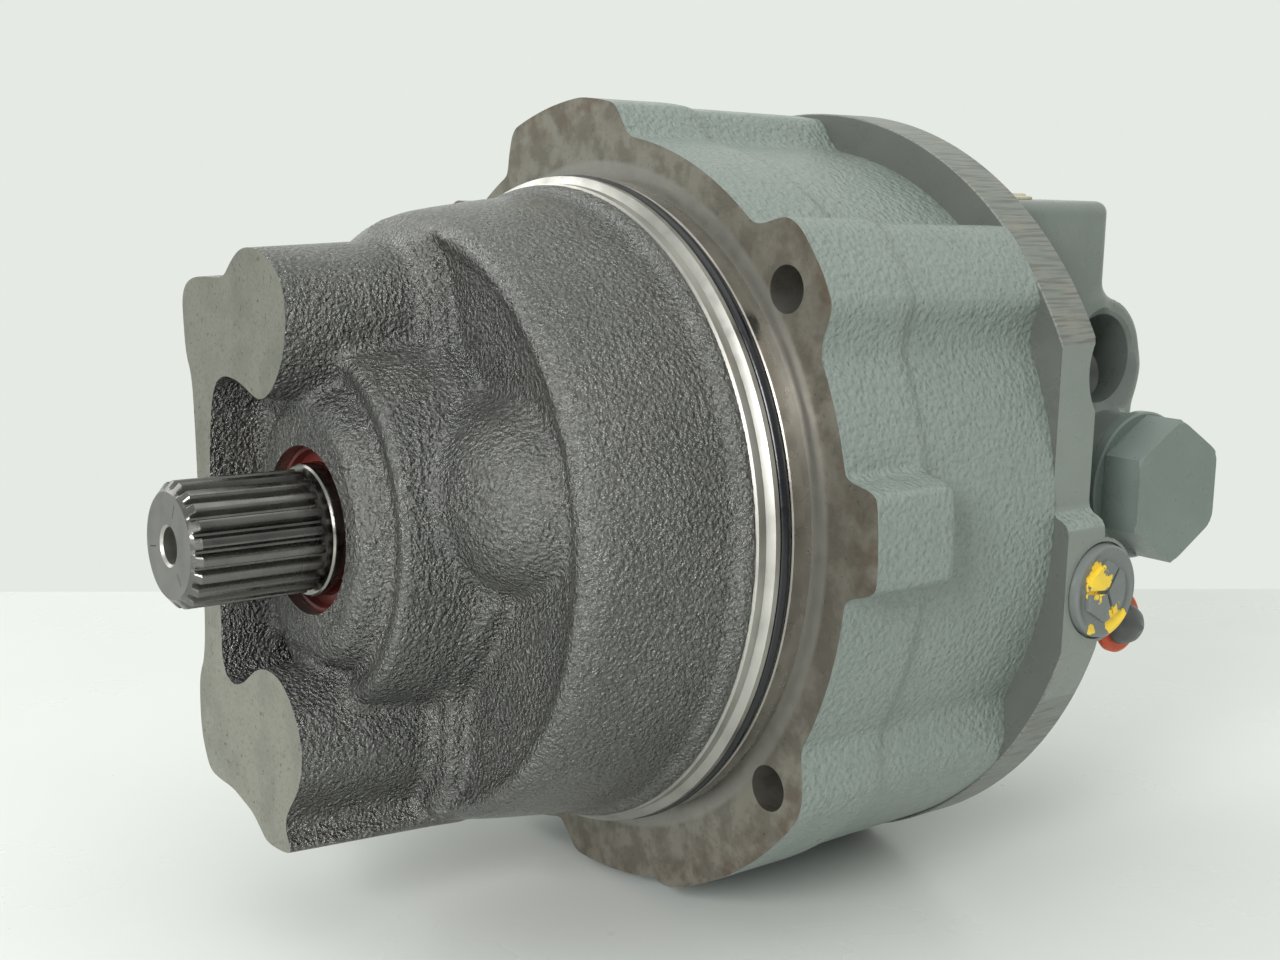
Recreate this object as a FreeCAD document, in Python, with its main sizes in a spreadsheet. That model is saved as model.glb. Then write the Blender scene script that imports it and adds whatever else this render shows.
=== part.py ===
"""Plug-in variable-displacement axial-piston motor, as a parametric document.

Frame: X is the shaft axis, with the splined shaft towards -X and the end cover towards +X.
The origin is the centre of the mounting flange face, +Z is up. Angles called clock run round
the X axis, from 0 at -Y to 90 at +Z.
"""
import FreeCAD
import Part
import Sketcher
import math
import os
import re

Vector = FreeCAD.Vector
doc = FreeCAD.newDocument("hydraulic_motor")

DIMENSIONS = {
    # shaft
    "tip_x": -142.3, "spline_end_x": -106.0, "collar_front_x": -103.0, "collar_end_x": -90.0,
    "bearing_end_x": -68.0, "shaft_step_x": -34.0, "journal_x": 80.0, "shaft_end_x": 103.0,
    "spline_teeth": 21, "spline_major": 17.46, "spline_root": 15.3, "tooth_base": 3.3,
    "tooth_crest": 1.7, "tip_chamfer": 1.8, "collar_radius": 18.9, "seat_radius": 20.0,
    "middle_radius": 17.5, "block_spline": 16.0, "journal_radius": 15.0,
    "centre_hole_radius": 5.1, "centre_hole_depth": 28.0, "neck_radius": 15.0,
    # housing
    "nose_x": -113.0, "hub_x": -102.0, "shoulder_x": -66.0, "shoulder_radius": 85.0,
    "shoulder_front_x": -84.0, "shoulder_front_radius": 56.0, "drum_radius": 94.5,
    "ring_x": -18.7, "ring_radius": 97.7, "pilot_x": -15.0, "pilot_radius": 100.0,
    "relief_x": -3.0, "relief_radius": 98.8, "groove_x": -12.2, "groove_width": 4.2,
    "groove_radius": 96.9, "flange_radius": 112.0,
    "body_radius": 110.8, "body_end_x": 87.7, "column_radius": 123.5, "pad_radius": 124.0,
    "pad_length": 31.0, "bottom_pad_z": -120.0, "bottom_pad_y": 36.0,
    "bottom_pad_far": 16.0, "hub_radius": 38.0, "hub_base_radius": 50.0, "hub_base_x": -94.0,
    "boss_radius": 21.5, "upper_boss_y": 10.0, "upper_boss_z": 57.5, "lower_boss_y": 2.0,
    "lower_boss_z": -61.0, "web_y": 36.0, "web_width": 13.0, "web_bottom_z": -72.0,
    "web_height": 140.0, "dome_x": -72.0, "dome_y": 60.0, "dome_z": 13.0, "dome_radius": 20.0,
    "seal_bore_radius": 24.0, "seal_seat_x": -93.0, "shaft_passage": 21.0,
    "front_bearing_x": -88.0, "front_bearing_radius": 34.0, "front_bearing_length": 18.0,
    "nose_cavity_x": -58.0, "nose_cavity_radius": 80.0, "body_cavity_x": 10.0,
    "body_cavity_radius": 94.0, "bolt_circle": 110.8, "bolt_clock": 40.0,
    "bolt_hole_radius": 6.75, "clearance": 0.3, "running_gap": 0.05,
    # swashplate and its cradle
    "tilt_x": -19.0, "swash_face": 8.4, "swash_plate": 8.0, "swash_radius": 58.0,
    "cradle_radius": 41.0, "cradle_half_width": 65.0, "cradle_seat_radius": 44.0,
    "cradle_inner_y": 45.0, "cradle_shell_height": 52.0, "swash_bore": 26.0, "swash_slot_y": 20.0,
    "swash_slot_z": 32.0, "arm_y": -10.0, "arm_width": 31.0, "arm_z": 71.0,
    # servo pistons
    "servo_bore_radius": 14.0, "servo_bore_x": -104.0, "servo_piston_x": -84.0,
    "servo_skirt": 32.0, "servo_rod_radius": 8.0, "servo_rod": 7.0,
    # rotating group
    "piston_count": 9, "piston_pitch": 36.0, "bore_radius": 10.0, "piston_radius": 9.9,
    "ball_radius": 6.5, "neck_piston": 4.6, "piston_skirt_x": 11.0, "piston_length": 52.0,
    "piston_well_radius": 6.0, "piston_well": 40.0, "slipper_radius": 12.0,
    "slipper_flange": 3.0, "slipper_cup_radius": 8.3, "slipper_cup": 11.0,
    "slipper_lift": 0.4, "retainer_gap": 0.3, "retainer_thickness": 3.0,
    "retainer_hole": 10.2, "retainer_radius": 49.5, "retainer_bore": 24.6,
    "guide_radius": 24.0, "guide_length": 15.0, "block_x": 2.0, "block_end_x": 72.0,
    "block_radius": 50.0, "bore_depth": 60.0, "kidney_radius": 5.0, "spring_bore": 24.5,
    "spring_depth": 46.0, "spring_radius": 20.5, "spring_wire": 1.9, "spring_pitch": 8.6,
    "spring_turns": 4, "circlip_thickness": 2.0, "washer_thickness": 2.5,
    # end cover
    "spigot_x": 80.0, "spigot_radius": 93.6, "disc_radius": 122.6, "disc_end_x": 105.0,
    "rear_bearing_radius": 27.5, "rear_bearing_x": 84.0, "rear_bearing_length": 17.0,
    "rear_pocket_x": 103.5, "block_half_y": 70.0, "block_top_z": 96.0,
    "block_bottom_z": -45.0, "upper_end_x": 159.0, "lower_end_x": 180.0, "port_x": 159.5,
    "port_z": 43.5, "port_boss_radius": 20.5, "port_radius": 15.1, "port_depth": 50.0,
    "gallery_radius": 8.0, "upper_flat_y": -109.8, "lower_flat_y": -116.5, "flat_step_z": 4.0,
    "flat_reach": 60.0, "flat_depth": 20.0,
    "plug_x": 156.7, "plug_z": 3.6, "plug_boss_radius": 23.0, "plug_boss": 17.0,
    "washer_height": 4.0, "plug_washer_radius": 24.5, "hex_flats": 41.0, "hex_height": 14.0,
    "plug_thread_radius": 16.5, "plug_thread": 22.0, "sealed_x": 104.5, "sealed_z": -20.0,
    "sealed_boss_radius": 16.4, "sealed_radius": 14.6, "sealed_head": 3.0,
    "sealed_thread_radius": 9.0, "sealed_thread": 10.0,
    "screw_count": 8, "screw_circle": 102.0, "screw_clock": 20.0,
    "screw_radius": 6.0, "screw_head_radius": 9.0, "screw_head": 12.0, "screw_grip": 17.3,
    "screw_reach": 24.0, "screw_socket": 5.8, "screw_socket_depth": 6.0,
    "cap_x": 124.0, "cap_y": -54.0, "cap_radius": 8.5, "cap_height": 2.0,
    "cap_plug_radius": 5.9, "cap_plug": 9.0, "nipple_x": 141.5, "nipple_z": -39.5,
    "nipple_radius": 5.0, "nipple_hex": 7.0, "nipple_length": 34.0, "nipple_ring": 3.0,
    "nipple_ring_radius": 10.0, "nipple_cap_radius": 7.0, "nipple_cap": 8.0,
    "nipple_cap_depth": 6.0,
    "valve_plate_x": 72.3, "valve_plate_radius": 46.0, "valve_plate_bore": 19.0,
    "pin_radius": 2.5, "pin_length": 9.0, "pin_y": 43.0,
    "race_thickness": 3.0, "roller_radius": 3.5, "roller_gap": 0.12,
}

sheet = doc.addObject("Spreadsheet::Sheet", "Dims")
for row, (alias, number) in enumerate(DIMENSIONS.items(), start=1):
    sheet.set(f"A{row}", alias)
    sheet.set(f"B{row}", str(number))
    sheet.setAlias(f"B{row}", alias)
doc.recompute()

ALONG = {
    "X": FreeCAD.Rotation(Vector(0, 1, 0), 90),
    "Y": FreeCAD.Rotation(Vector(1, 0, 0), -90),
    "-Y": FreeCAD.Rotation(Vector(1, 0, 0), 90),
    "Z": FreeCAD.Rotation(),
}
PARTS = []


def dim(alias):
    """Reads one driving dimension from the sheet."""
    return float(sheet.get(alias))


def linked(text):
    """Turns each alias in an expression into a reference to its sheet cell."""
    def refer(match):
        word = match.group()
        return "Dims." + word if word in DIMENSIONS else word
    return re.sub(r"[a-z][a-z_]*", refer, str(text))


def bind(item, **sizes):
    for name, text in sizes.items():
        item.setExpression(name.replace("__", "."), linked(text))
    return item


def place(item, x, y, z):
    return bind(item, Placement__Base__x=x, Placement__Base__y=y, Placement__Base__z=z)


def cylinder(radius, length, x=0, y=0, z=0, axis="X"):
    item = doc.addObject("Part::Cylinder", "Cylinder")
    item.Placement = FreeCAD.Placement(Vector(), ALONG[axis])
    bind(item, Radius=radius, Height=length)
    return place(item, x, y, z)


def cone(radius, end_radius, length, x=0, y=0, z=0, axis="X"):
    item = doc.addObject("Part::Cone", "Cone")
    item.Placement = FreeCAD.Placement(Vector(), ALONG[axis])
    bind(item, Radius1=radius, Radius2=end_radius, Height=length)
    return place(item, x, y, z)


def ball(radius, x=0, y=0, z=0):
    item = doc.addObject("Part::Sphere", "Ball")
    item.Placement = FreeCAD.Placement(Vector(), ALONG["X"])
    return place(bind(item, Radius=radius), x, y, z)


def box(x_size, y_size, z_size, x=0, y=0, z=0):
    item = bind(doc.addObject("Part::Box", "Box"), Length=x_size, Width=y_size, Height=z_size)
    return place(item, x, y, z)


def sector(radius, start, stop, x, length):
    """A wedge of a cylinder about the X axis, between two clock angles in degrees."""
    item = doc.addObject("Part::Cylinder", "Sector")
    top = math.radians(stop)
    item.Placement.Rotation = FreeCAD.Rotation(
        Vector(0, -math.cos(top), math.sin(top)),
        Vector(0, -math.sin(top), -math.cos(top)),
        Vector(1, 0, 0), "ZXY")
    bind(item, Radius=radius, Height=length, Angle=stop - start)
    return place(item, x, 0, 0)


def fused(*items):
    item = doc.addObject("Part::MultiFuse", "Fused")
    item.Shapes = list(items)
    return item


def common(*items):
    item = doc.addObject("Part::MultiCommon", "Common")
    item.Shapes = list(items)
    return item


def cut(base, *tools):
    item = doc.addObject("Part::Cut", "Cut")
    item.Base = base
    item.Tool = tools[0] if len(tools) == 1 else fused(*tools)
    return item


def part(label, item):
    item.Label = label
    PARTS.append(item)
    return item


def plane(body, role):
    return next(item for item in body.Origin.OriginFeatures if item.Role == role)


def outline(body, role, points):
    """A closed outline of straight lines whose corners are driven by the sheet."""
    sketch = body.newObject("Sketcher::SketchObject", "Outline")
    sketch.AttachmentSupport = [(plane(body, role), "")]
    sketch.MapMode = "FlatFace"
    corners = [Vector(*[evaluate(text) for text in point], 0) for point in points]
    for index, corner in enumerate(corners):
        follower = corners[(index + 1) % len(corners)]
        sketch.addGeometry(Part.LineSegment(corner, follower), False)
    for index, point in enumerate(points):
        sketch.addConstraint(
            Sketcher.Constraint("Coincident", index, 2, (index + 1) % len(points), 1))
        for kind, text in zip(("DistanceX", "DistanceY"), point):
            value = evaluate(text)
            row = sketch.addConstraint(Sketcher.Constraint(kind, -1, 1, index, 1, value))
            if re.search("[a-z]", str(text)):
                sketch.setExpression(f"Constraints[{row}]", linked(text))
    return sketch


def evaluate(text):
    """The number that an expression of the sheet's aliases stands for."""
    filled = re.sub(r"[a-z][a-z_]*", lambda match: repr(dim(match.group())), str(text))
    total = 0.0
    for sign, term in re.findall(r"([+-]*)([^+-]+)", filled.replace(" ", "")):
        product = 1.0
        for factor in term.split("*"):
            pieces = [float(piece) for piece in factor.split("/")]
            product *= pieces[0]
            for piece in pieces[1:]:
                product /= piece
        total += -product if sign.count("-") % 2 else product
    return total


def turned(label, points):
    """A body turned about the X axis from an outline of (x, radius) corners."""
    body = doc.addObject("PartDesign::Body", label)
    sketch = outline(body, "XZ_Plane", points)
    turn = body.newObject("PartDesign::Revolution", "Turn")
    turn.Profile = sketch
    turn.ReferenceAxis = (sketch, ["H_Axis"])
    turn.Angle = 360
    body.Tip = turn
    return body


def bored(x, stop, inner, outer):
    """The outline of a plain ring between two stations along X."""
    return [(x, inner), (stop, inner), (stop, outer), (x, outer)]


def around(count, radius, make):
    """Repeats make(y, z, number) evenly round the X axis."""
    return [make(f"{radius}*{math.cos(math.tau * k / count):.9f}",
                 f"{radius}*{math.sin(math.tau * k / count):.9f}", k) for k in range(count)]


def drive_shaft():
    body = turned("drive_shaft", [
        ("tip_x", "centre_hole_radius"), ("tip_x", "spline_root-1"),
        ("tip_x+1", "spline_root"), ("spline_end_x", "spline_root"),
        ("collar_front_x", "neck_radius"), ("collar_front_x", "collar_radius-1"),
        ("collar_front_x+1", "collar_radius"), ("collar_end_x", "collar_radius"),
        ("collar_end_x", "seat_radius"), ("bearing_end_x", "seat_radius"),
        ("bearing_end_x", "middle_radius"), ("shaft_step_x", "middle_radius"),
        ("shaft_step_x", "block_spline"), ("journal_x", "block_spline"),
        ("journal_x", "journal_radius"), ("shaft_end_x-1", "journal_radius"),
        ("shaft_end_x", "journal_radius-1"), ("shaft_end_x", 0),
        ("tip_x+centre_hole_depth+3", 0), ("tip_x+centre_hole_depth", "centre_hole_radius"),
    ])
    tooth = outline(body, "YZ_Plane", [
        ("0-tooth_base/2", "spline_root-0.5"), ("tooth_base/2", "spline_root-0.5"),
        ("tooth_crest/2", "spline_major"), ("0-tooth_crest/2", "spline_major")])
    bind(tooth, AttachmentOffset__Base__z="tip_x+tip_chamfer")
    rib = body.newObject("PartDesign::Pad", "Tooth")
    rib.Profile = tooth
    bind(rib, Length="spline_end_x-tip_x-tip_chamfer")
    doc.recompute()
    teeth = body.newObject("PartDesign::PolarPattern", "Teeth")
    teeth.Originals = [rib]
    teeth.Axis = (tooth, ["N_Axis"])
    teeth.Angle = 360
    bind(teeth, Occurrences="spline_teeth")
    body.Tip = teeth
    part("drive_shaft", body)


def nose_solids():
    """The raw cast front: drum, hub, servo bosses, stiffening web and bearing domes."""
    back = "shoulder_x-nose_x+6"
    solids = [
        cylinder("drum_radius", "ring_x-shoulder_x-20", "shoulder_x+20"),
        cone("shoulder_radius", "drum_radius", 20, "shoulder_x"),
        cone("shoulder_front_radius", "shoulder_radius", "shoulder_x-shoulder_front_x",
             "shoulder_front_x"),
        cylinder("hub_base_radius", "0-hub_base_x+nose_cavity_x", "hub_base_x"),
        cone("hub_radius-4", "hub_base_radius-2", "hub_base_x-hub_x", "hub_x"),
        cylinder("boss_radius", back, "nose_x", "upper_boss_y", "upper_boss_z"),
        cylinder("boss_radius", back, "nose_x", "lower_boss_y", "lower_boss_z"),
        box(back, "web_y+web_width-lower_boss_y", "boss_radius-2", "nose_x", "lower_boss_y",
            "lower_boss_z-boss_radius+2"),
        box(back, "web_y+web_width+7-upper_boss_y", "boss_radius+6", "nose_x", "upper_boss_y",
            "upper_boss_z-boss_radius+4"),
        box(back, "web_width", "web_height-6", "nose_x", "web_y", "web_bottom_z"),
        box(back, "boss_radius+2", 12, "nose_x", "lower_boss_y-18", "lower_boss_z-28"),
    ]
    for side in ("0-dome_y", "dome_y"):
        solids.append(ball("dome_radius", "dome_x", side, "dome_z"))
    return solids


def flange_solids():
    """The painted rear: flange with its lobes, columns, pads and the drum between them."""
    length = "body_end_x"
    solids = [
        cone("flange_radius", "body_radius", length),
        sector("pad_radius", 85, 115, 0, length),
        box(length, "bottom_pad_y+bottom_pad_far", 30, 0, "0-bottom_pad_y", "bottom_pad_z"),
        sector("pad_radius", -3, 10, 0, "pad_length"),
        sector("pad_radius", 170, 183, 0, "pad_length"),
        sector("column_radius", -72, -32, 0, length),
        sector("column_radius", 212, 252, 0, length),
        sector("column_radius", 32, 49.5, 0, length),
        sector("column_radius", 124, 149, 0, length),
    ]
    return solids


def bolt_holes(length, x=0, radius="bolt_hole_radius"):
    spots = [(y, z) for y in (-1, 1) for z in (-1, 1)]
    return [cylinder(radius, length, x, f"{y}*bolt_circle*cos(bolt_clock)",
                     f"{z}*bolt_circle*sin(bolt_clock)") for y, z in spots]


def motor_housing():
    outside = fused(*nose_solids(), *flange_solids(),
                    cylinder("ring_radius", "pilot_x-ring_x", "ring_x"),
                    cylinder("pilot_radius", "relief_x-pilot_x", "pilot_x"),
                    cylinder("relief_radius", "0-relief_x", "relief_x"))
    groove = cut(cylinder("pilot_radius+2", "groove_width", "groove_x"),
                 cylinder("groove_radius", "groove_width", "groove_x"))
    hollow = [
        cylinder("seal_bore_radius", "seal_seat_x-hub_x+6", "hub_x-6"),
        cylinder("shaft_passage", "0-seal_seat_x", "seal_seat_x"),
        cylinder("front_bearing_radius", "nose_cavity_x-front_bearing_x", "front_bearing_x"),
        cylinder("nose_cavity_radius", "body_cavity_x-nose_cavity_x", "nose_cavity_x"),
        cylinder("body_cavity_radius", "body_end_x-body_cavity_x", "body_cavity_x"),
        cylinder("cradle_seat_radius", "2*cradle_half_width+6", "tilt_x",
                 "0-cradle_half_width-3", 0, "Y"),
    ]
    for name in ("upper_boss", "lower_boss"):
        hollow.append(cylinder("servo_bore_radius", "nose_cavity_x-servo_bore_x",
                               "servo_bore_x", name + "_y", name + "_z"))
    taps = around(8, "screw_circle", screw_tap)
    part("motor_housing", cut(outside, groove, *hollow, *bolt_holes("body_end_x"), *taps))


def screw_spot(number):
    angle = math.radians(dim("screw_clock") + number * 360 / dim("screw_count"))
    return f"screw_circle*{math.cos(angle):.9f}", f"screw_circle*{math.sin(angle):.9f}"


def screw_tap(_y, _z, number):
    y, z = screw_spot(number)
    return cylinder("screw_radius", "screw_reach+2", "body_end_x-screw_reach-2", y, z)


def end_cover():
    boss_back = "0-block_half_y"
    thickness = "disc_end_x-body_end_x"
    disc = cut(
        cylinder("disc_radius", thickness, "body_end_x"),
        box(thickness, "flat_depth", "flat_reach", "body_end_x", "upper_flat_y-flat_depth",
            "flat_step_z"),
        box(thickness, "flat_depth", "flat_reach", "body_end_x", "lower_flat_y-flat_depth",
            "flat_step_z-flat_reach"))
    outside = fused(
        disc,
        cylinder("spigot_radius", "body_end_x-spigot_x", "spigot_x"),
        cylinder("sealed_boss_radius", "2-lower_flat_y-block_half_y", "sealed_x",
                 "lower_flat_y", "sealed_z", "Y"),
        box("upper_end_x-disc_end_x", "2*block_half_y", "block_top_z-block_bottom_z",
            "disc_end_x", "0-block_half_y", "block_bottom_z"),
        box("lower_end_x-disc_end_x", "2*block_half_y", "port_z-block_bottom_z",
            "disc_end_x", "0-block_half_y", "block_bottom_z"),
        cylinder("port_boss_radius", "2*block_half_y", "port_x", boss_back, "port_z", "Y"),
        cylinder("plug_boss_radius", "plug_boss+2", "plug_x", "0-block_half_y+2", "plug_z",
                 "-Y"))
    tools = [
        cylinder("rear_bearing_radius", "rear_pocket_x-spigot_x+1", "spigot_x-1"),
        cylinder("plug_thread_radius", "plug_thread+plug_boss", "plug_x",
                 "0-block_half_y-plug_boss", "plug_z", "Y"),
        cylinder("sealed_thread_radius", "sealed_thread", "sealed_x",
                 "lower_flat_y", "sealed_z", "Y"),
        cylinder("cap_plug_radius", "cap_plug+1", "cap_x", "cap_y",
                 "block_top_z-cap_plug-1", "Z"),
        cylinder("nipple_radius", 14, "nipple_x", "0-block_half_y", "nipple_z", "Y"),
        cylinder("pin_radius", 4, "spigot_x", "pin_y"),
    ]
    for side in (-1, 1):
        tools.append(cylinder("port_radius", "port_depth", "port_x",
                              f"{side}*(block_half_y-port_depth/2)-port_depth/2", "port_z",
                              "Y"))
        tools.append(cylinder("gallery_radius", "port_x-spigot_x", "spigot_x",
                              f"{side}*piston_pitch", 12))
        tools.append(cylinder("gallery_radius", 32, "port_x-7", f"{side}*piston_pitch",
                              12, "Z"))
    for number in range(int(dim("screw_count"))):
        y, z = screw_spot(number)
        tools.append(cylinder("screw_radius+0.5", "screw_grip+2", "body_end_x-1", y, z))
        tools.append(cylinder("screw_head_radius+1", 90, "disc_end_x", y, z))
    part("end_cover", cut(outside, *tools, *bolt_holes("disc_end_x", "body_end_x-40"),
                          *bolt_holes(90, "disc_end_x", "bolt_hole_radius+6")))


def end_cover_screws():
    screws = []
    for number in range(int(dim("screw_count"))):
        y, z = screw_spot(number)
        head = fused(cylinder("screw_head_radius", "screw_head", "disc_end_x", y, z),
                     cylinder("screw_radius", "screw_grip+screw_reach",
                              "disc_end_x-screw_grip-screw_reach", y, z))
        screws.append(cut(head, hexagon("screw_socket_depth", "2*screw_socket*0.866",
                                        "disc_end_x+screw_head-screw_socket_depth", y, z)))
    group = doc.addObject("Part::Compound", "Screws")
    group.Links = screws
    part("end_cover_screws", group)


def hexagon(length, flats, x, y, z, axis="X"):
    item = doc.addObject("Part::Prism", "Hexagon")
    item.Polygon = 6
    corner_up = FreeCAD.Rotation(Vector(0, 0, 1), 30)
    item.Placement = FreeCAD.Placement(Vector(), ALONG[axis] * corner_up)
    bind(item, Circumradius=f"({flats})/1.7320508", Height=length)
    return place(item, x, y, z)


def plugs():
    face = "0-block_half_y-plug_boss"
    part("large_plug_washer", cut(
        cylinder("plug_washer_radius", "washer_height", "plug_x", face, "plug_z", "-Y"),
        cylinder("plug_thread_radius", "washer_height", "plug_x", face, "plug_z", "-Y")))
    part("large_hex_plug", fused(
        hexagon("hex_height", "hex_flats", "plug_x", face + "-washer_height", "plug_z", "-Y"),
        cylinder("plug_thread_radius", "plug_thread", "plug_x", face + "-washer_height",
                 "plug_z", "Y")))
    part("sealed_plug", fused(
        cylinder("sealed_radius", "sealed_head", "sealed_x", "lower_flat_y", "sealed_z", "-Y"),
        cylinder("sealed_thread_radius", "sealed_thread-2", "sealed_x", "lower_flat_y",
                 "sealed_z", "Y")))
    part("top_port_cap", fused(
        cylinder("cap_radius", "cap_height", "cap_x", "cap_y", "block_top_z", "Z"),
        cylinder("cap_plug_radius", "cap_plug", "cap_x", "cap_y", "block_top_z-cap_plug",
                 "Z")))
    base = "0-block_half_y"
    part("bleed_nipple", fused(
        cylinder("nipple_radius", "nipple_length+10", "nipple_x", base + "+10", "nipple_z",
                 "-Y"),
        hexagon(10, "2*nipple_hex", "nipple_x", base, "nipple_z", "-Y")))
    cap_start = base + "-nipple_length+nipple_cap_depth"
    part("bleed_nipple_ring", cut(
        cylinder("nipple_ring_radius", "nipple_ring", "nipple_x", cap_start + "+nipple_ring",
                 "nipple_z", "-Y"),
        cylinder("nipple_radius", "nipple_ring", "nipple_x", cap_start + "+nipple_ring",
                 "nipple_z", "-Y")))
    part("bleed_nipple_cap", cut(
        cylinder("nipple_cap_radius", "nipple_cap", "nipple_x", cap_start, "nipple_z", "-Y"),
        cylinder("nipple_radius", "nipple_cap_depth", "nipple_x", cap_start, "nipple_z",
                 "-Y")))


def seals():
    part("pilot_oring", turned("pilot_oring_body", [
        ("groove_x+0.6", "groove_radius"), ("groove_x+groove_width-0.6", "groove_radius"),
        ("groove_x+groove_width-0.2", "groove_radius+1.4"),
        ("groove_x+groove_width-0.6", "pilot_radius-0.4"),
        ("groove_x+groove_width/2", "pilot_radius-0.1"),
        ("groove_x+0.6", "pilot_radius-0.4"), ("groove_x+0.2", "groove_radius+1.4")]))
    part("shaft_seal", turned("shaft_seal_body", [
        ("seal_seat_x", "seal_bore_radius"), ("seal_seat_x-7", "seal_bore_radius"),
        ("seal_seat_x-7", "collar_radius+2"), ("seal_seat_x-5", "collar_radius+running_gap"),
        ("seal_seat_x-3.6", "collar_radius+running_gap"),
        ("seal_seat_x-2", "collar_radius+3"), ("seal_seat_x", "collar_radius+3")]))
    part("end_cover_seal", turned("end_cover_seal_body", bored(
        "body_end_x-4.2", "body_end_x-1.2", "spigot_radius", "body_cavity_radius")))


def bearing(name, x, length, shaft_radius, outer_radius):
    """A cylindrical roller bearing: ribbed inner ring, rollers, cage and outer ring."""
    outer = f"{outer_radius}-race_thickness"
    pitch = evaluate(f"{outer}") - dim("roller_gap") - dim("roller_radius")
    part(name + "_outer_ring", turned(name + "_outer", bored(x, f"{x}+{length}", outer,
                                                             outer_radius)))
    track = pitch - dim("roller_radius")
    part(name + "_inner_ring", turned(name + "_inner", [
        (x, shaft_radius), (f"{x}+{length}", shaft_radius), (f"{x}+{length}", track + 1),
        (f"{x}+{length}-2", track + 1), (f"{x}+{length}-2", track - 0.01),
        (f"{x}+2", track - 0.01), (f"{x}+2", track + 1), (x, track + 1)]))
    count = int(math.tau * pitch / (2 * dim("roller_radius") + 1.6))
    rollers = around(count, pitch, lambda y, z, _: cylinder(
        "roller_radius", f"{length}-4.4", f"{x}+2.2", y, z))
    group = doc.addObject("Part::Compound", "Rollers")
    group.Links = rollers
    part(name + "_rollers", group)


def swashplate():
    face = "tilt_x-swash_face"
    drum = common(
        cylinder("cradle_radius", "2*cradle_half_width", "tilt_x", "0-cradle_half_width", 0,
                 "Y"),
        box("cradle_radius", "2*cradle_half_width", "2*cradle_radius",
            face + "-cradle_radius", "0-cradle_half_width", "0-cradle_radius"))
    plate = cylinder("swash_radius", "swash_plate", face + "-swash_plate")
    arms = box("swash_plate", "arm_width", "2*arm_z", face + "-swash_plate", "arm_y",
               "0-arm_z")
    slot = box(30, "2*swash_slot_y", "2*swash_slot_z", "tilt_x-cradle_radius-2",
               "0-swash_slot_y", "0-swash_slot_z")
    part("swashplate", cut(fused(drum, plate, arms), slot,
                           cylinder("swash_bore", 60, "tilt_x-cradle_radius-2")))
    for name, y in (("cradle_bearing_near", "0-cradle_half_width"),
                    ("cradle_bearing_far", "cradle_inner_y")):
        shell = cut(cylinder("cradle_seat_radius", "cradle_half_width-cradle_inner_y",
                             "tilt_x", y, 0, "Y"),
                    cylinder("cradle_radius+clearance", "cradle_half_width-cradle_inner_y",
                             "tilt_x", y, 0, "Y"))
        window = box("cradle_seat_radius", "cradle_half_width-cradle_inner_y",
                     "cradle_shell_height", "tilt_x-cradle_seat_radius", y,
                     "0-cradle_shell_height/2")
        part(name, common(shell, window))


def servo_pistons():
    for name in ("upper", "lower"):
        y, z = name + "_boss_y", name + "_boss_z"
        end = "servo_piston_x+servo_skirt"
        part(name + "_servo_piston", fused(
            cylinder("servo_bore_radius-0.1", "servo_skirt", "servo_piston_x", y, z),
            cylinder("servo_rod_radius", "servo_rod", end, y, z),
            ball("servo_rod_radius", end + "+servo_rod", y, z)))


def cylinder_block():
    bores = around(int(dim("piston_count")), "piston_pitch", lambda y, z, _: fused(
        cylinder("bore_radius", "bore_depth", "block_x", y, z),
        cylinder("kidney_radius", "block_end_x-block_x", "block_x", y, z)))
    part("cylinder_block", cut(
        cylinder("block_radius", "block_end_x-block_x", "block_x"),
        cylinder("block_spline", "block_end_x-block_x", "block_x"),
        cylinder("spring_bore", "spring_depth", "block_x"), *bores))


def pistons_and_slippers():
    count = int(dim("piston_count"))
    sole = "tilt_x-swash_face+slipper_lift"

    def piston(y, z, number):
        solid = fused(
            ball("ball_radius", "tilt_x", y, z),
            cylinder("neck_piston", "piston_skirt_x", "tilt_x", y, z),
            cylinder("piston_radius", "piston_length", "tilt_x+piston_skirt_x", y, z))
        well = cylinder("piston_well_radius", "piston_well",
                        "tilt_x+piston_skirt_x+piston_length-piston_well", y, z)
        part(f"piston_{number + 1}", cut(solid, well))

    def slipper(y, z, number):
        solid = fused(
            cylinder("slipper_radius", "slipper_flange", sole, y, z),
            cylinder("slipper_cup_radius", "slipper_cup", sole, y, z))
        part(f"slipper_{number + 1}", cut(
            solid, ball("ball_radius+0.1", "tilt_x", y, z),
            cone("neck_piston+0.4", "neck_piston+3.4", "slipper_cup", "tilt_x", y, z)))

    around(count, "piston_pitch", piston)
    around(count, "piston_pitch", slipper)


def hold_down():
    front = "tilt_x-swash_face+slipper_lift+slipper_flange+retainer_gap"
    holes = around(int(dim("piston_count")), "piston_pitch", lambda y, z, _: cylinder(
        "retainer_hole", "retainer_thickness", front, y, z))
    part("retainer_plate", cut(cylinder("retainer_radius", "retainer_thickness", front),
                               cylinder("retainer_bore", "retainer_thickness", front),
                               *holes))
    part("ball_guide", cut(
        common(ball("guide_radius", "tilt_x"),
               cylinder("guide_radius", "guide_length", "tilt_x-5")),
        cylinder("block_spline", "guide_length", "tilt_x-5")))
    part("spring_washer", turned("spring_washer_body", bored(
        "block_x+spring_depth-washer_thickness", "block_x+spring_depth", "block_spline",
        "spring_bore-1")))
    part("block_circlip", turned("block_circlip_body", bored(
        "block_x+1", "block_x+1+circlip_thickness", "block_spline+1", "spring_bore")))


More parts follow.
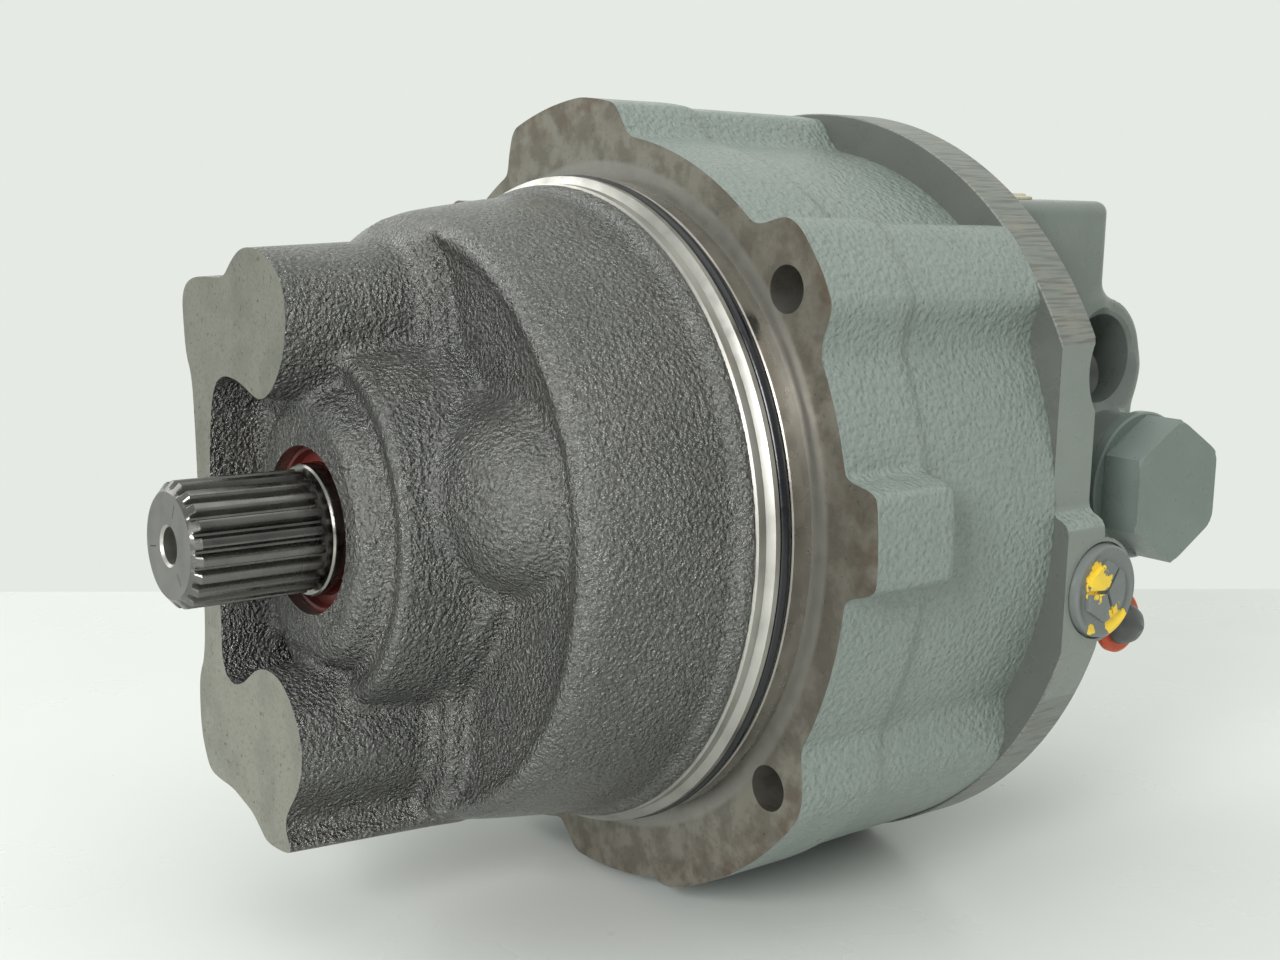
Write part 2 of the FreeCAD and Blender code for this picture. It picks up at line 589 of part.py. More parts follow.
def block_spring():
    body = doc.addObject("PartDesign::Body", "block_spring_body")
    wire = body.newObject("Sketcher::SketchObject", "Wire")
    wire.AttachmentSupport = [(plane(body, "XZ_Plane"), "")]
    wire.MapMode = "FlatFace"
    centre = ("block_x+2*washer_thickness+spring_wire", "spring_radius")
    start = Vector(evaluate(centre[0]), evaluate(centre[1]), 0)
    wire.addGeometry(Part.Circle(start, Vector(0, 0, 1), dim("spring_wire")), False)
    size = wire.addConstraint(Sketcher.Constraint("Radius", 0, dim("spring_wire")))
    wire.setExpression(f"Constraints[{size}]", linked("spring_wire"))
    for kind, text in zip(("DistanceX", "DistanceY"), centre):
        row = wire.addConstraint(Sketcher.Constraint(kind, -1, 1, 0, 3, evaluate(text)))
        wire.setExpression(f"Constraints[{row}]", linked(text))
    coil = body.newObject("PartDesign::AdditiveHelix", "Coil")
    coil.Profile = wire
    coil.ReferenceAxis = (wire, ["H_Axis"])
    coil.Mode = 0
    bind(coil, Pitch="spring_pitch", Height="spring_pitch*spring_turns")
    body.Tip = coil
    part("block_spring", body)


def valve_plate():
    plate = cylinder("valve_plate_radius", "spigot_x-valve_plate_x", "valve_plate_x")
    ports = []
    for side in (-1, 1):
        for lift in (-14, 0, 14):
            ports.append(cylinder("kidney_radius", "spigot_x-valve_plate_x",
                                  "valve_plate_x",
                                  f"{side}*sqrt(piston_pitch*piston_pitch-{lift * lift})",
                                  lift))
    part("valve_plate", cut(
        plate, cylinder("valve_plate_bore", "spigot_x-valve_plate_x", "valve_plate_x"),
        cylinder("pin_radius", 20, "valve_plate_x", "pin_y"), *ports))
    part("valve_plate_pin", cylinder("pin_radius", "pin_length", "spigot_x+4-pin_length",
                                     "pin_y"))


motor_housing()
end_cover()
end_cover_screws()
plugs()
seals()
bearing("front_bearing", "front_bearing_x", "front_bearing_length", "seat_radius",
        "front_bearing_radius")
bearing("rear_bearing", "rear_bearing_x", "rear_bearing_length", "journal_radius",
        "rear_bearing_radius")
drive_shaft()
swashplate()
servo_pistons()
cylinder_block()
pistons_and_slippers()
hold_down()
block_spring()
valve_plate()
doc.recompute()

faults = [item.Name for item in doc.Objects if {"Invalid", "Error"} & set(item.State)]
faults += [item.Label for item in PARTS if item.Shape.isNull() or not item.Shape.isValid()]
if faults:
    raise RuntimeError("these objects failed: " + ", ".join(faults))

os.makedirs("parts", exist_ok=True)
for item in PARTS:
    item.Shape.exportStep(f"parts/{item.Label}.step")
    print(item.Label, len(item.Shape.Solids), round(item.Shape.Volume))
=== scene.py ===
"""Looks of the plug-in axial piston motor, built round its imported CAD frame.

Sizes are in millimetres in the row frame (X along the shaft, +Z up) and are turned into metres
where a mesh is made. Clock angles run round X from 0 at -Y to 90 at +Z.
"""
import math

import bmesh
import bpy
import numpy as np
from mathutils import Matrix, Vector


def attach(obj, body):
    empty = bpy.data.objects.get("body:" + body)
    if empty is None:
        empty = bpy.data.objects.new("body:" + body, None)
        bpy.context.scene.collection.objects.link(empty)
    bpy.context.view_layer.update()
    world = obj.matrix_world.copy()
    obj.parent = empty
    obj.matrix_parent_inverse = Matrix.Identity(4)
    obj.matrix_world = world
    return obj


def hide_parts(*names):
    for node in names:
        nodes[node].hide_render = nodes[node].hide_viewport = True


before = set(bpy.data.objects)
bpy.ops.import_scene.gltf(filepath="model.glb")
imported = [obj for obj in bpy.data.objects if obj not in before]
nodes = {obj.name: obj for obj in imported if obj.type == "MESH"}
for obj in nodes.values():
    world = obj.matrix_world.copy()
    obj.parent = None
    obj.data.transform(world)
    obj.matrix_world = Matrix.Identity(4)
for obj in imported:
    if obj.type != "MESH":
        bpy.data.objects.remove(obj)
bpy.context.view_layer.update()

MM = 0.001
STEP = 1.0          # spacing of the casting grids


# ---------------------------------------------------------------- distance fields

def smooth_min(a, b, k):
    """The union of two fields, with a cast fillet about k wide where they meet."""
    blend = np.clip(0.5 + 0.5 * (b - a) / k, 0, 1)
    return b + (a - b) * blend - k * blend * (1 - blend)


def smooth_max(a, b, k):
    return -smooth_min(-a, -b, k)


def capsule(p, start, end, radius, end_radius=None):
    """A rod with round ends between two points, which may taper."""
    start, end = np.array(start, float), np.array(end, float)
    axis = end - start
    along = sum((p[i] - start[i]) * axis[i] for i in range(3)) / (axis @ axis)
    along = np.clip(along, 0, 1)
    away = np.sqrt(sum((p[i] - start[i] - along * axis[i]) ** 2 for i in range(3)))
    end_radius = radius if end_radius is None else end_radius
    return away - radius - along * (end_radius - radius)


def ellipsoid(p, centre, radii):
    scaled = np.sqrt(sum(((p[i] - centre[i]) / radii[i]) ** 2 for i in range(3)))
    slope = np.sqrt(sum(((p[i] - centre[i]) / radii[i] ** 2) ** 2 for i in range(3)))
    return scaled * (scaled - 1) / np.maximum(slope, 1e-6)


def round_box(p, low, high, radius):
    inside = -1e9
    outside = 0
    for i in range(3):
        middle, half = (low[i] + high[i]) / 2, (high[i] - low[i]) / 2 - radius
        gap = np.abs(p[i] - middle) - half
        outside = outside + np.maximum(gap, 0) ** 2
        inside = np.maximum(inside, gap)
    return np.sqrt(outside) + np.minimum(inside, 0) - radius


def rod(p, axis, centre, radius, low, high, rounding=1.5):
    """A cylinder along one axis, with rounded rims. centre gives the other two coordinates."""
    others = [i for i in range(3) if i != axis]
    across = np.hypot(p[others[0]] - centre[0], p[others[1]] - centre[1]) - radius + rounding
    along = np.abs(p[axis] - (low + high) / 2) - (high - low) / 2 + rounding
    return (np.hypot(np.maximum(across, 0), np.maximum(along, 0))
            + np.minimum(np.maximum(across, along), 0) - rounding)


def polygon_field(u, v, points):
    """Distance to the inside of a polygon in a plane."""
    best = np.inf
    inside = False
    for start, end in zip(points, points[1:] + points[:1]):
        across, up = end[0] - start[0], end[1] - start[1]
        share = np.clip(((u - start[0]) * across + (v - start[1]) * up)
                        / (across ** 2 + up ** 2), 0, 1)
        best = np.minimum(best, np.hypot(u - start[0] - share * across,
                                         v - start[1] - share * up))
        slope = across / (up if abs(up) > 1e-9 else 1e-9)
        passes = (start[1] > v) != (end[1] > v)
        inside = inside ^ (passes & (u < start[0] + (v - start[1]) * slope))
    return np.where(inside, -best, best)


def cut_corners(points, times=2):
    """A rounder loop, by trimming each corner a few times over."""
    for _ in range(times):
        pairs = list(zip(points, points[1:] + points[:1]))
        points = [(a[0] * f + b[0] * (1 - f), a[1] * f + b[1] * (1 - f))
                  for a, b in pairs for f in (0.75, 0.25)]
    return points


def profile_field(x, radius, points):
    """Distance to a solid of revolution about X, from its (x, radius) outline."""
    reach = np.arange(0, 182, 0.5)
    table = polygon_field(x.reshape(-1, 1), reach[None], points)
    return np.stack([np.interp(radius[0], reach, row) for row in table])


def grid(low, high):
    axes = [np.arange(low[i], high[i] + STEP, STEP, dtype=np.float32) for i in range(3)]
    shape = ((-1, 1, 1), (1, -1, 1), (1, 1, -1))
    return [axis.reshape(s) for axis, s in zip(axes, shape)]


def surface_net(field, p):
    """Quads over the zero surface of a sampled field, one vertex for each cell it crosses."""
    field = np.array(field)
    for axis in range(3):        # the solid never touches the edge of its grid
        for end in (0, -1):
            layer = [slice(None)] * 3
            layer[axis] = end
            field[tuple(layer)] = np.maximum(field[tuple(layer)], 0.3 * STEP)
    inside = field < 0
    low = [float(p[i].reshape(-1)[0]) for i in range(3)]
    corner = [(i, j, k) for i in (0, 1) for j in (0, 1) for k in (0, 1)]
    shape = np.array(field.shape) - 1
    count = np.zeros(shape, np.int8)
    for i, j, k in corner:
        count += inside[i:shape[0] + i, j:shape[1] + j, k:shape[2] + k]
    cells = np.argwhere((count > 0) & (count < 8))
    number = np.full(shape, -1, np.int32)
    number[tuple(cells.T)] = np.arange(len(cells))
    values = {c: field[tuple((cells + c).T)] for c in corner}
    total = np.zeros((len(cells), 3))
    hits = np.zeros(len(cells))
    for a in corner:
        for axis in range(3):
            if a[axis]:
                continue
            b = tuple(a[i] + (i == axis) for i in range(3))
            crossed = (values[a] < 0) != (values[b] < 0)
            with np.errstate(divide="ignore", invalid="ignore"):
                share = np.where(crossed, values[a] / (values[a] - values[b]), 0)
            spot = np.tile(np.array(a, float), (len(cells), 1))
            spot[:, axis] = share
            total += spot * crossed[:, None]
            hits += crossed
    points = (cells + total / hits[:, None]) * STEP + low
    quads = []
    for axis in range(3):
        u, v = (axis + 1) % 3, (axis + 2) % 3
        here = [slice(None)] * 3
        there = [slice(None)] * 3
        here[axis] = slice(0, -1)
        there[axis] = slice(1, None)
        first, second = inside[tuple(here)], inside[tuple(there)]
        edges = np.argwhere(first != second)
        edges = edges[(edges[:, u] > 0) & (edges[:, v] > 0)]
        edges = edges[(edges[:, u] < shape[u]) & (edges[:, v] < shape[v])]
        ring = []
        for du, dv in ((-1, -1), (0, -1), (0, 0), (-1, 0)):
            cell = edges.copy()
            cell[:, u] += du
            cell[:, v] += dv
            ring.append(number[tuple(cell.T)])
        ring = np.stack(ring, 1)
        outward = first[tuple(edges.T)]
        ring[~outward] = ring[~outward][:, ::-1]
        quads.append(ring)
    return points, np.concatenate(quads)


# ---------------------------------------------------------------- meshes

def new_object(name, points, faces, materials):
    """An object from points in millimetres and faces with equal or mixed numbers of corners."""
    mesh = bpy.data.meshes.new(name)
    faces = [list(map(int, face)) for face in faces] if not isinstance(faces, np.ndarray) else faces
    points = np.asarray(points, float) * MM
    if isinstance(faces, np.ndarray):
        mesh.vertices.add(len(points))
        mesh.vertices.foreach_set("co", points.ravel())
        mesh.loops.add(faces.size)
        mesh.loops.foreach_set("vertex_index", faces.ravel().astype(np.int32))
        mesh.polygons.add(len(faces))
        starts = np.arange(0, faces.size, faces.shape[1], dtype=np.int32)
        mesh.polygons.foreach_set("loop_start", starts)
        mesh.update(calc_edges=True)
    else:
        mesh.from_pydata(points.tolist(), [], faces)
    mesh.validate()
    mesh.update()
    item = bpy.data.objects.new(name, mesh)
    bpy.context.scene.collection.objects.link(item)
    for material in materials:
        mesh.materials.append(material)
    return item


def ring_faces(rings, count, closed):
    faces = []
    for i in range(rings if closed else rings - 1):
        a, b = i * count, (i + 1) % rings * count
        for j in range(count):
            k = (j + 1) % count
            faces.append((a + j, a + k, b + k, b + j))
    return faces


def lathe(name, outline, materials, segments=180, centre=(0, 0), axis="X"):
    """A closed solid of revolution from a loop of (station, radius) points."""
    turn = np.arange(segments) * math.tau / segments
    points = []
    for station, radius in outline:
        ring = np.stack([np.full(segments, station), -radius * np.cos(turn),
                         radius * np.sin(turn)], 1)
        points.append(ring)
    points = np.concatenate(points)
    item = new_object(name, points, ring_faces(len(outline), segments, True), materials)
    if axis == "Y":
        item.data.transform(Matrix(((0, 1, 0, 0), (1, 0, 0, 0), (0, 0, -1, 0), (0, 0, 0, 1))))
    if axis == "Z":
        item.data.transform(Matrix(((0, 0, 1, 0), (0, 1, 0, 0), (-1, 0, 0, 0), (0, 0, 0, 1))))
        item.data.transform(Matrix.Scale(-1, 4, (0, 0, 1)))
        item.data.flip_normals()
    where = {"X": (0, centre[0], centre[1]), "Y": (centre[0], 0, centre[1]),
             "Z": (centre[0], centre[1], 0)}[axis]
    item.data.transform(Matrix.Translation(Vector(where) * MM))
    make_outward(item)
    return item


def make_outward(item):
    work = bmesh.new()
    work.from_mesh(item.data)
    bmesh.ops.recalc_face_normals(work, faces=work.faces)
    work.to_mesh(item.data)
    work.free()


def solid_rod(name, axis, centre, radius, low, high, segments=72):
    """A plain closed rod, used as a drill."""
    turn = np.arange(segments) * math.tau / segments
    spread = [centre[0] + radius * np.cos(turn), centre[1] + radius * np.sin(turn)]
    points = []
    for station in (low, high):
        ring = list(spread)
        ring.insert("XYZ".index(axis), np.full(segments, station))
        points.append(np.stack(ring, 1))
    faces = [list(range(segments)), list(range(2 * segments - 1, segments - 1, -1))]
    faces += ring_faces(2, segments, False)
    item = new_object(name, np.concatenate(points), faces, [])
    make_outward(item)
    return item


def prism(name, outline, low, high):
    """A straight prism along X from its (y, z) outline."""
    count = len(outline)
    points = [(x, y, z) for x in (low, high) for y, z in outline]
    faces = [list(range(count)), list(range(2 * count - 1, count - 1, -1))]
    item = new_object(name, points, faces + ring_faces(2, count, False), [])
    make_outward(item)
    return item


def block(name, low, high):
    corners = [(x, y, z) for x in (low[0], high[0]) for y in (low[1], high[1])
               for z in (low[2], high[2])]
    faces = [(0, 1, 3, 2), (4, 6, 7, 5), (0, 4, 5, 1), (2, 3, 7, 6), (0, 2, 6, 4), (1, 5, 7, 3)]
    item = new_object(name, corners, faces, [])
    make_outward(item)
    return item


def combine(item, tools, operation):
    """Machines or joins item with each tool, then throws the tools away."""
    for tool in tools:
        change = item.modifiers.new("machining", "BOOLEAN")
        change.operation = operation
        change.solver = "MANIFOLD"
        change.object = tool
    settle(item)
    for tool in tools:
        bpy.data.objects.remove(tool, do_unlink=True)


def settle(item):
    """Applies every modifier, and keeps the materials as they were."""
    graph = bpy.context.evaluated_depsgraph_get()
    done = bpy.data.meshes.new_from_object(item.evaluated_get(graph))
    old = item.data
    looks = list(old.materials)
    item.modifiers.clear()
    item.data = done
    bpy.data.meshes.remove(old)
    done.materials.clear()
    for material in looks:
        done.materials.append(material)


def shade(item, angle=35):
    """Smooth shading, with edges sharper than the angle kept crisp."""
    item.data.shade_smooth()
    item.data.set_sharp_from_angle(angle=math.radians(angle))


def face_centres(mesh):
    centres = np.empty(len(mesh.polygons) * 3)
    normals = np.empty(len(mesh.polygons) * 3)
    mesh.polygons.foreach_get("center", centres)
    mesh.polygons.foreach_get("normal", normals)
    return centres.reshape(-1, 3) / MM, normals.reshape(-1, 3)


def finish_piece(item, body, replaced=(), angle=35):
    shade(item, angle)
    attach(item, body)
    if replaced:
        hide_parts(*replaced)
    return item


# ---------------------------------------------------------------- materials

class Shader:
    """A small helper that builds one procedural material on object coordinates."""

    def __init__(self, name, colour, metallic=0.0, roughness=0.5, **sockets):
        self.material = bpy.data.materials.new(name)
        self.material.use_nodes = True
        self.tree = self.material.node_tree
        self.base = self.tree.nodes["Principled BSDF"]
        self.base.inputs["Base Color"].default_value = (*colour, 1)
        self.base.inputs["Metallic"].default_value = metallic
        self.base.inputs["Roughness"].default_value = roughness
        for socket, value in sockets.items():
            self.base.inputs[socket.replace("_", " ")].default_value = value
        self.place = self.node("ShaderNodeTexCoord").outputs["Object"]
        self.height = None

    def node(self, kind, **settings):
        item = self.tree.nodes.new(kind)
        for name, value in settings.items():
            setattr(item, name, value)
        return item

    def join(self, source, target):
        self.tree.links.new(source, target)

    def stretched(self, scale):
        shift = self.node("ShaderNodeMapping")
        shift.inputs["Scale"].default_value = scale
        self.join(self.place, shift.inputs["Vector"])
        return shift.outputs["Vector"]

    def noise(self, size_mm, detail=2.0, rough=0.5, scale=(1, 1, 1)):
        item = self.node("ShaderNodeTexNoise")
        item.inputs["Scale"].default_value = 1 / (size_mm * MM)
        item.inputs["Detail"].default_value = detail
        item.inputs["Roughness"].default_value = rough
        self.join(self.stretched(scale), item.inputs["Vector"])
        return item.outputs["Fac"]

    def cells(self, size_mm, feature="SMOOTH_F1"):
        item = self.node("ShaderNodeTexVoronoi", feature=feature)
        item.inputs["Scale"].default_value = 1 / (size_mm * MM)
        self.join(self.place, item.inputs["Vector"])
        return item.outputs["Distance"]

    def ramp(self, source, low, high, start=0.0, stop=1.0):
        item = self.node("ShaderNodeMapRange")
        for name, value in (("From Min", low), ("From Max", high), ("To Min", start),
                            ("To Max", stop)):
            item.inputs[name].default_value = value
        self.join(source, item.inputs["Value"])
        return item.outputs["Result"]

    def maths(self, operation, a, b):
        item = self.node("ShaderNodeMath", operation=operation)
        for socket, value in zip(item.inputs, (a, b)):
            if isinstance(value, (int, float)):
                socket.default_value = value
            else:
                self.join(value, socket)
        return item.outputs[0]

    def coordinate(self):
        item = self.node("ShaderNodeSeparateXYZ")
        self.join(self.place, item.inputs[0])
        return item.outputs

    def radius(self):
        _, y, z = self.coordinate()
        return self.maths("SQRT", self.maths("ADD", self.maths("MULTIPLY", y, y),
                                             self.maths("MULTIPLY", z, z)), 0)

    def near(self, centre, reach):
        """One at a point, falling to zero at the given distance; both in millimetres."""
        item = self.node("ShaderNodeVectorMath", operation="DISTANCE")
        self.join(self.place, item.inputs[0])
        item.inputs[1].default_value = [c * MM for c in centre]
        return self.ramp(item.outputs["Value"], 0, reach * MM, 1, 0)

    def paint(self, mask, colour):
        """Lays a colour over what is there, by a mask of 0 to 1."""
        mix = self.node("ShaderNodeMix", data_type="RGBA")
        socket = self.base.inputs["Base Color"]
        if socket.links:
            self.join(socket.links[0].from_socket, mix.inputs["A"])
        else:
            mix.inputs["A"].default_value = socket.default_value
        mix.inputs["B"].default_value = (*colour, 1)
        self.join(mask, mix.inputs["Factor"])
        self.join(mix.outputs["Result"], socket)
        return self

    def roughen(self, source):
        self.join(source, self.base.inputs["Roughness"])
        return self

    def bump(self, source, depth_mm, strength=1.0):
        item = self.node("ShaderNodeBump")
        item.inputs["Distance"].default_value = depth_mm * MM
        item.inputs["Strength"].default_value = strength
        self.join(source, item.inputs["Height"])
        if self.height is not None:
            self.join(self.height, item.inputs["Normal"])
        self.height = item.outputs["Normal"]
        self.join(self.height, self.base.inputs["Normal"])
        return self


def raw_iron():
    """Bare sand-cast iron, oiled: dark, finely grained, with glints on its tops."""
    s = Shader("raw_cast_iron", (0.19, 0.19, 0.183), 0.92, 0.3)
    s.paint(s.ramp(s.noise(26, 3), 0.38, 0.72, 0, 0.5), (0.26, 0.257, 0.243))
    s.paint(s.ramp(s.noise(60, 2), 0.55, 0.75, 0, 0.35), (0.21, 0.19, 0.165))
    s.paint(s.ramp(s.noise(0.9, 3), 0.48, 0.66, 0, 0.5), (0.05, 0.05, 0.048))
    s.roughen(s.ramp(s.noise(7, 3), 0.3, 0.75, 0.18, 0.33))
    s.bump(s.noise(9, 3), 0.5)
    s.bump(s.cells(1.2), 0.85)
    s.bump(s.noise(0.6, 3), 0.8)
    return s.material


def faced_iron():
    """The machined faces of the nose: light, faintly streaked and speckled."""
    s = Shader("faced_iron", (0.28, 0.275, 0.235), 0.85, 0.4)
    s.paint(s.ramp(s.noise(13, 5, 0.6), 0.44, 0.62, 0, 0.7), (0.21, 0.21, 0.18))
    s.paint(s.ramp(s.noise(1.1, 3), 0.5, 0.7, 0, 0.45), (0.15, 0.148, 0.13))
    s.paint(s.ramp(s.noise(1.6, 2), 0.64, 0.76, 0, 0.75), (0.05, 0.048, 0.045))
    s.bump(s.noise(1.4, 2, scale=(1, 0.12, 1.6)), 0.03)
    s.bump(s.noise(0.5, 1), 0.03)
    return s.material


def turned_steel(name="turned_iron", colour=(0.36, 0.34, 0.31), roughness=0.27, pitch=0.5):
    """Lathe-turned metal: fine rings that follow X, with faint stains."""
    s = Shader(name, colour, 0.95, roughness)
    s.paint(s.ramp(s.noise(14, 4), 0.45, 0.72, 0, 0.55), tuple(c * 0.55 for c in colour))
    s.roughen(s.ramp(s.noise(6, 3), 0.3, 0.7, roughness - 0.05, roughness + 0.12))
    s.bump(s.noise(pitch * 2, 1, scale=(1, 0.03, 0.03)), 0.02)
    return s.material


def flange_face_iron():
    """The flange face: milled, brown-grey, with rust towards its rim and round the holes."""
    s = Shader("milled_flange_face", (0.27, 0.255, 0.215), 0.75, 0.4)
    s.paint(s.ramp(s.noise(10, 5, 0.6), 0.44, 0.57, 0, 0.7), (0.15, 0.137, 0.112))
    rim = s.ramp(s.radius(), 0.108, 0.123, 0, 1)
    s.paint(s.maths("MULTIPLY", rim, s.ramp(s.noise(6, 4), 0.42, 0.62, 0, 0.55)),
            (0.125, 0.075, 0.045))
    s.paint(s.ramp(s.noise(1.8, 3), 0.64, 0.74, 0, 0.6), (0.055, 0.05, 0.044))
    s.paint(s.ramp(s.radius(), 0.1042, 0.1056, 0.75, 0), (0.32, 0.315, 0.29))
    s.roughen(s.ramp(s.noise(5, 3), 0.3, 0.7, 0.3, 0.5))
    s.bump(s.noise(1.0, 2, scale=(1, 0.2, 1)), 0.03)
    s.bump(s.noise(0.6, 2), 0.03)
    return s.material


def housing_paint():
    """Grey-green paint over sand-cast iron, its grain softened by the coat."""
    s = Shader("grey_green_paint", (0.225, 0.265, 0.243), 0.0, 0.34, Coat_Weight=0.12,
               Coat_Roughness=0.25)
    s.paint(s.ramp(s.noise(42, 3), 0.4, 0.7, 0, 0.5), (0.255, 0.298, 0.273))
    s.paint(s.ramp(s.noise(1.6, 3), 0.5, 0.72, 0, 0.45), (0.15, 0.176, 0.162))
    s.roughen(s.ramp(s.noise(8, 3), 0.3, 0.7, 0.26, 0.42))
    s.bump(s.noise(12, 2), 0.5)
    s.bump(s.cells(1.7), 0.6)
    s.bump(s.noise(0.9, 2), 0.36)
    return s.material


def thin_paint():
    """A thin coat over turned iron: the lathe's chatter shows through across the rim."""
    s = Shader("thin_paint_on_turned_rim", (0.20, 0.215, 0.195), 0.15, 0.34)
    s.paint(s.ramp(s.noise(9, 4), 0.45, 0.65, 0, 0.7), (0.25, 0.235, 0.195))
    s.paint(s.ramp(s.noise(1.0, 2, scale=(0.07, 1, 1)), 0.46, 0.62, 0, 0.7),
            (0.11, 0.113, 0.10))
    s.bump(s.noise(1.0, 1, scale=(0.06, 1, 1)), 0.25)
    s.bump(s.noise(0.8, 1), 0.03)
    return s.material


def smooth_paint(name="smooth_paint", colour=(0.16, 0.195, 0.178)):
    s = Shader(name, colour, 0.0, 0.3, Coat_Weight=0.2, Coat_Roughness=0.15)
    s.paint(s.ramp(s.noise(18, 3), 0.4, 0.7, 0, 0.5), tuple(c * 1.2 for c in colour))
    s.roughen(s.ramp(s.noise(5, 3), 0.3, 0.7, 0.24, 0.38))
    s.bump(s.noise(5, 2), 0.08)
    s.bump(s.noise(1.2, 2), 0.02)
    return s.material


def steel(name, colour, roughness, grain=(1, 1, 1), depth=0.015, size=1.2):
    s = Shader(name, colour, 1.0, roughness)
    s.paint(s.ramp(s.noise(9, 4), 0.45, 0.75, 0, 0.6), tuple(c * 0.6 for c in colour))
    s.roughen(s.ramp(s.noise(4, 3), 0.3, 0.7, roughness - 0.05, roughness + 0.12))
    s.bump(s.noise(size, 2, scale=grain), depth)
    return s.material


def soft(name, colour, roughness, size=1.5, depth=0.03, metallic=0.0):
    """Rubber or moulded plastic, with a faint skin texture."""
    s = Shader(name, colour, metallic, roughness)
    s.paint(s.ramp(s.noise(8, 3), 0.45, 0.7, 0, 0.5), tuple(c * 0.7 for c in colour))
    s.roughen(s.ramp(s.noise(4, 2), 0.3, 0.7, roughness - 0.06, roughness + 0.1))
    s.bump(s.noise(size, 2), depth)
    return s.material


def marked_plug():
    """A painted plug with dabs of yellow marking paint near its middle and its lower edge."""
    s = Shader("marked_plug_paint", (0.16, 0.175, 0.167), 0.0, 0.33, Coat_Weight=0.15)
    s.roughen(s.ramp(s.noise(5, 3), 0.3, 0.7, 0.26, 0.42))
    s.bump(s.noise(1.4, 2), 0.04)
    close = s.maths("MAXIMUM", s.near((100.5, -119.0, -16.5), 11.5),
                    s.maths("MAXIMUM", s.near((109.5, -118.0, -29.0), 9.5),
                            s.near((98.5, -118.5, -31.0), 4.2)))
    dab = s.ramp(s.maths("ADD", close, s.noise(4.5, 4, 0.6)), 1.02, 1.05)
    s.paint(dab, (0.86, 0.60, 0.045))
    s.bump(dab, 0.3)
    return s.material


IRON, FACED, TURNED, FLANGE = raw_iron(), faced_iron(), turned_steel(), flange_face_iron()
PAINT, RIM, SMOOTH = housing_paint(), thin_paint(), smooth_paint()
FLAT = smooth_paint("painted_rim_flat", (0.20, 0.225, 0.203))
BLOCK = smooth_paint("painted_port_block", (0.175, 0.197, 0.182))
COLLAR = steel("ground_collar", (0.27, 0.26, 0.24), 0.2)
# painted shade: the disc's front face between the columns is coloured dark to stand for the shade
# it sits in
DISC_LAND_PAINTED_SHADE = smooth_paint("shaded_disc_land", (0.10, 0.107, 0.098))
PILOT = turned_steel("pilot_land", (0.43, 0.42, 0.39), 0.36, 0.8)
DARK_STEEL = steel("dark_steel", (0.09, 0.09, 0.088), 0.38)
GROUND = steel("ground_steel", (0.5, 0.5, 0.49), 0.22)
SHAFT = steel("shaft_steel", (0.17, 0.165, 0.158), 0.24, (0.12, 1, 1), 0.012, 1.0)
BRONZE = steel("bearing_bronze", (0.5, 0.33, 0.14), 0.32)
RUBBER = soft("black_nitrile", (0.008, 0.009, 0.012), 0.22)
# red lip-seal rubber; its colour is darkened further as painted shade for the deep bore it sits in
SEAL_RED_PAINTED_SHADE = soft("red_seal_rubber", (0.10, 0.009, 0.006), 0.45)
ORANGE = soft("orange_plastic", (0.72, 0.09, 0.02), 0.35)
CAP = soft("transport_cap_plastic", (0.55, 0.5, 0.38), 0.45)
GREY_CAP = soft("painted_cap", (0.125, 0.13, 0.128), 0.4)
MARKED = marked_plug()


# ---------------------------------------------------------------- the nose casting

NOSE_X, FLANGE_X, COVER_X, REAR_X = -113.0, 0.0, 87.7, 105.0
UPPER_BOSS, LOWER_BOSS = (10.0, 57.5), (2.0, -61.0)
PILOT_R, RING_R = 100.0, 97.7


DECK = [   # (y, z) round the raised deck behind the hub
    (-11.5, 83), (-16, 72), (-19, 63), (-21, 51), (-36.5, 38), (-47, 26), (-52, 10),
    (-50.5, -17), (-30.5, -42), (-28.5, -52), (-28.5, -70), (-21, -86), (30, -84), (54, -62),
    (60, -30), (62, 0), (61, 30), (58, 50), (50, 68), (20, 84)]
NOSE_FACE = [   # (y, z) round the face: upper boss, pocket, lower boss, foot, web
    (9.5, 79), (0.5, 77), (-6.5, 73), (-10, 68), (-11.4, 61), (-10.4, 53), (-7, 46), (-2, 40),
    (4, 37), (9, 37.5), (16.3, 40.2), (22, 41.2), (28, 41.4), (33, 39.5), (36, 35), (37.4, 29),
    (38.8, 18), (38.5, 5), (35, -15), (32.5, -29), (32.6, -42), (30, -47.5), (25, -49.5),
    (19, -48), (14, -44.5), (9, -41), (2, -39.3), (-6, -40.5), (-12, -45), (-16.5, -51),
    (-19, -58), (-18.2, -65), (-15.5, -71), (-10.5, -77), (-8.2, -81.5), (-9.5, -86),
    (-13, -90), (3, -91.5), (7.5, -88.5), (12.5, -85), (19.2, -83.3), (26, -81.5), (35, -81.5),
    (42, -80.5), (45, -76), (47.8, -70), (48.8, -60), (48.4, -52), (44.8, -46), (44, -31),
    (46, -10), (47.8, 8), (49, 25), (50.6, 39), (54.5, 45), (56, 55), (56.6, 62), (53.5, 66.5),
    (46, 68.8), (31, 69), (26.9, 70), (23, 74), (17, 78)]


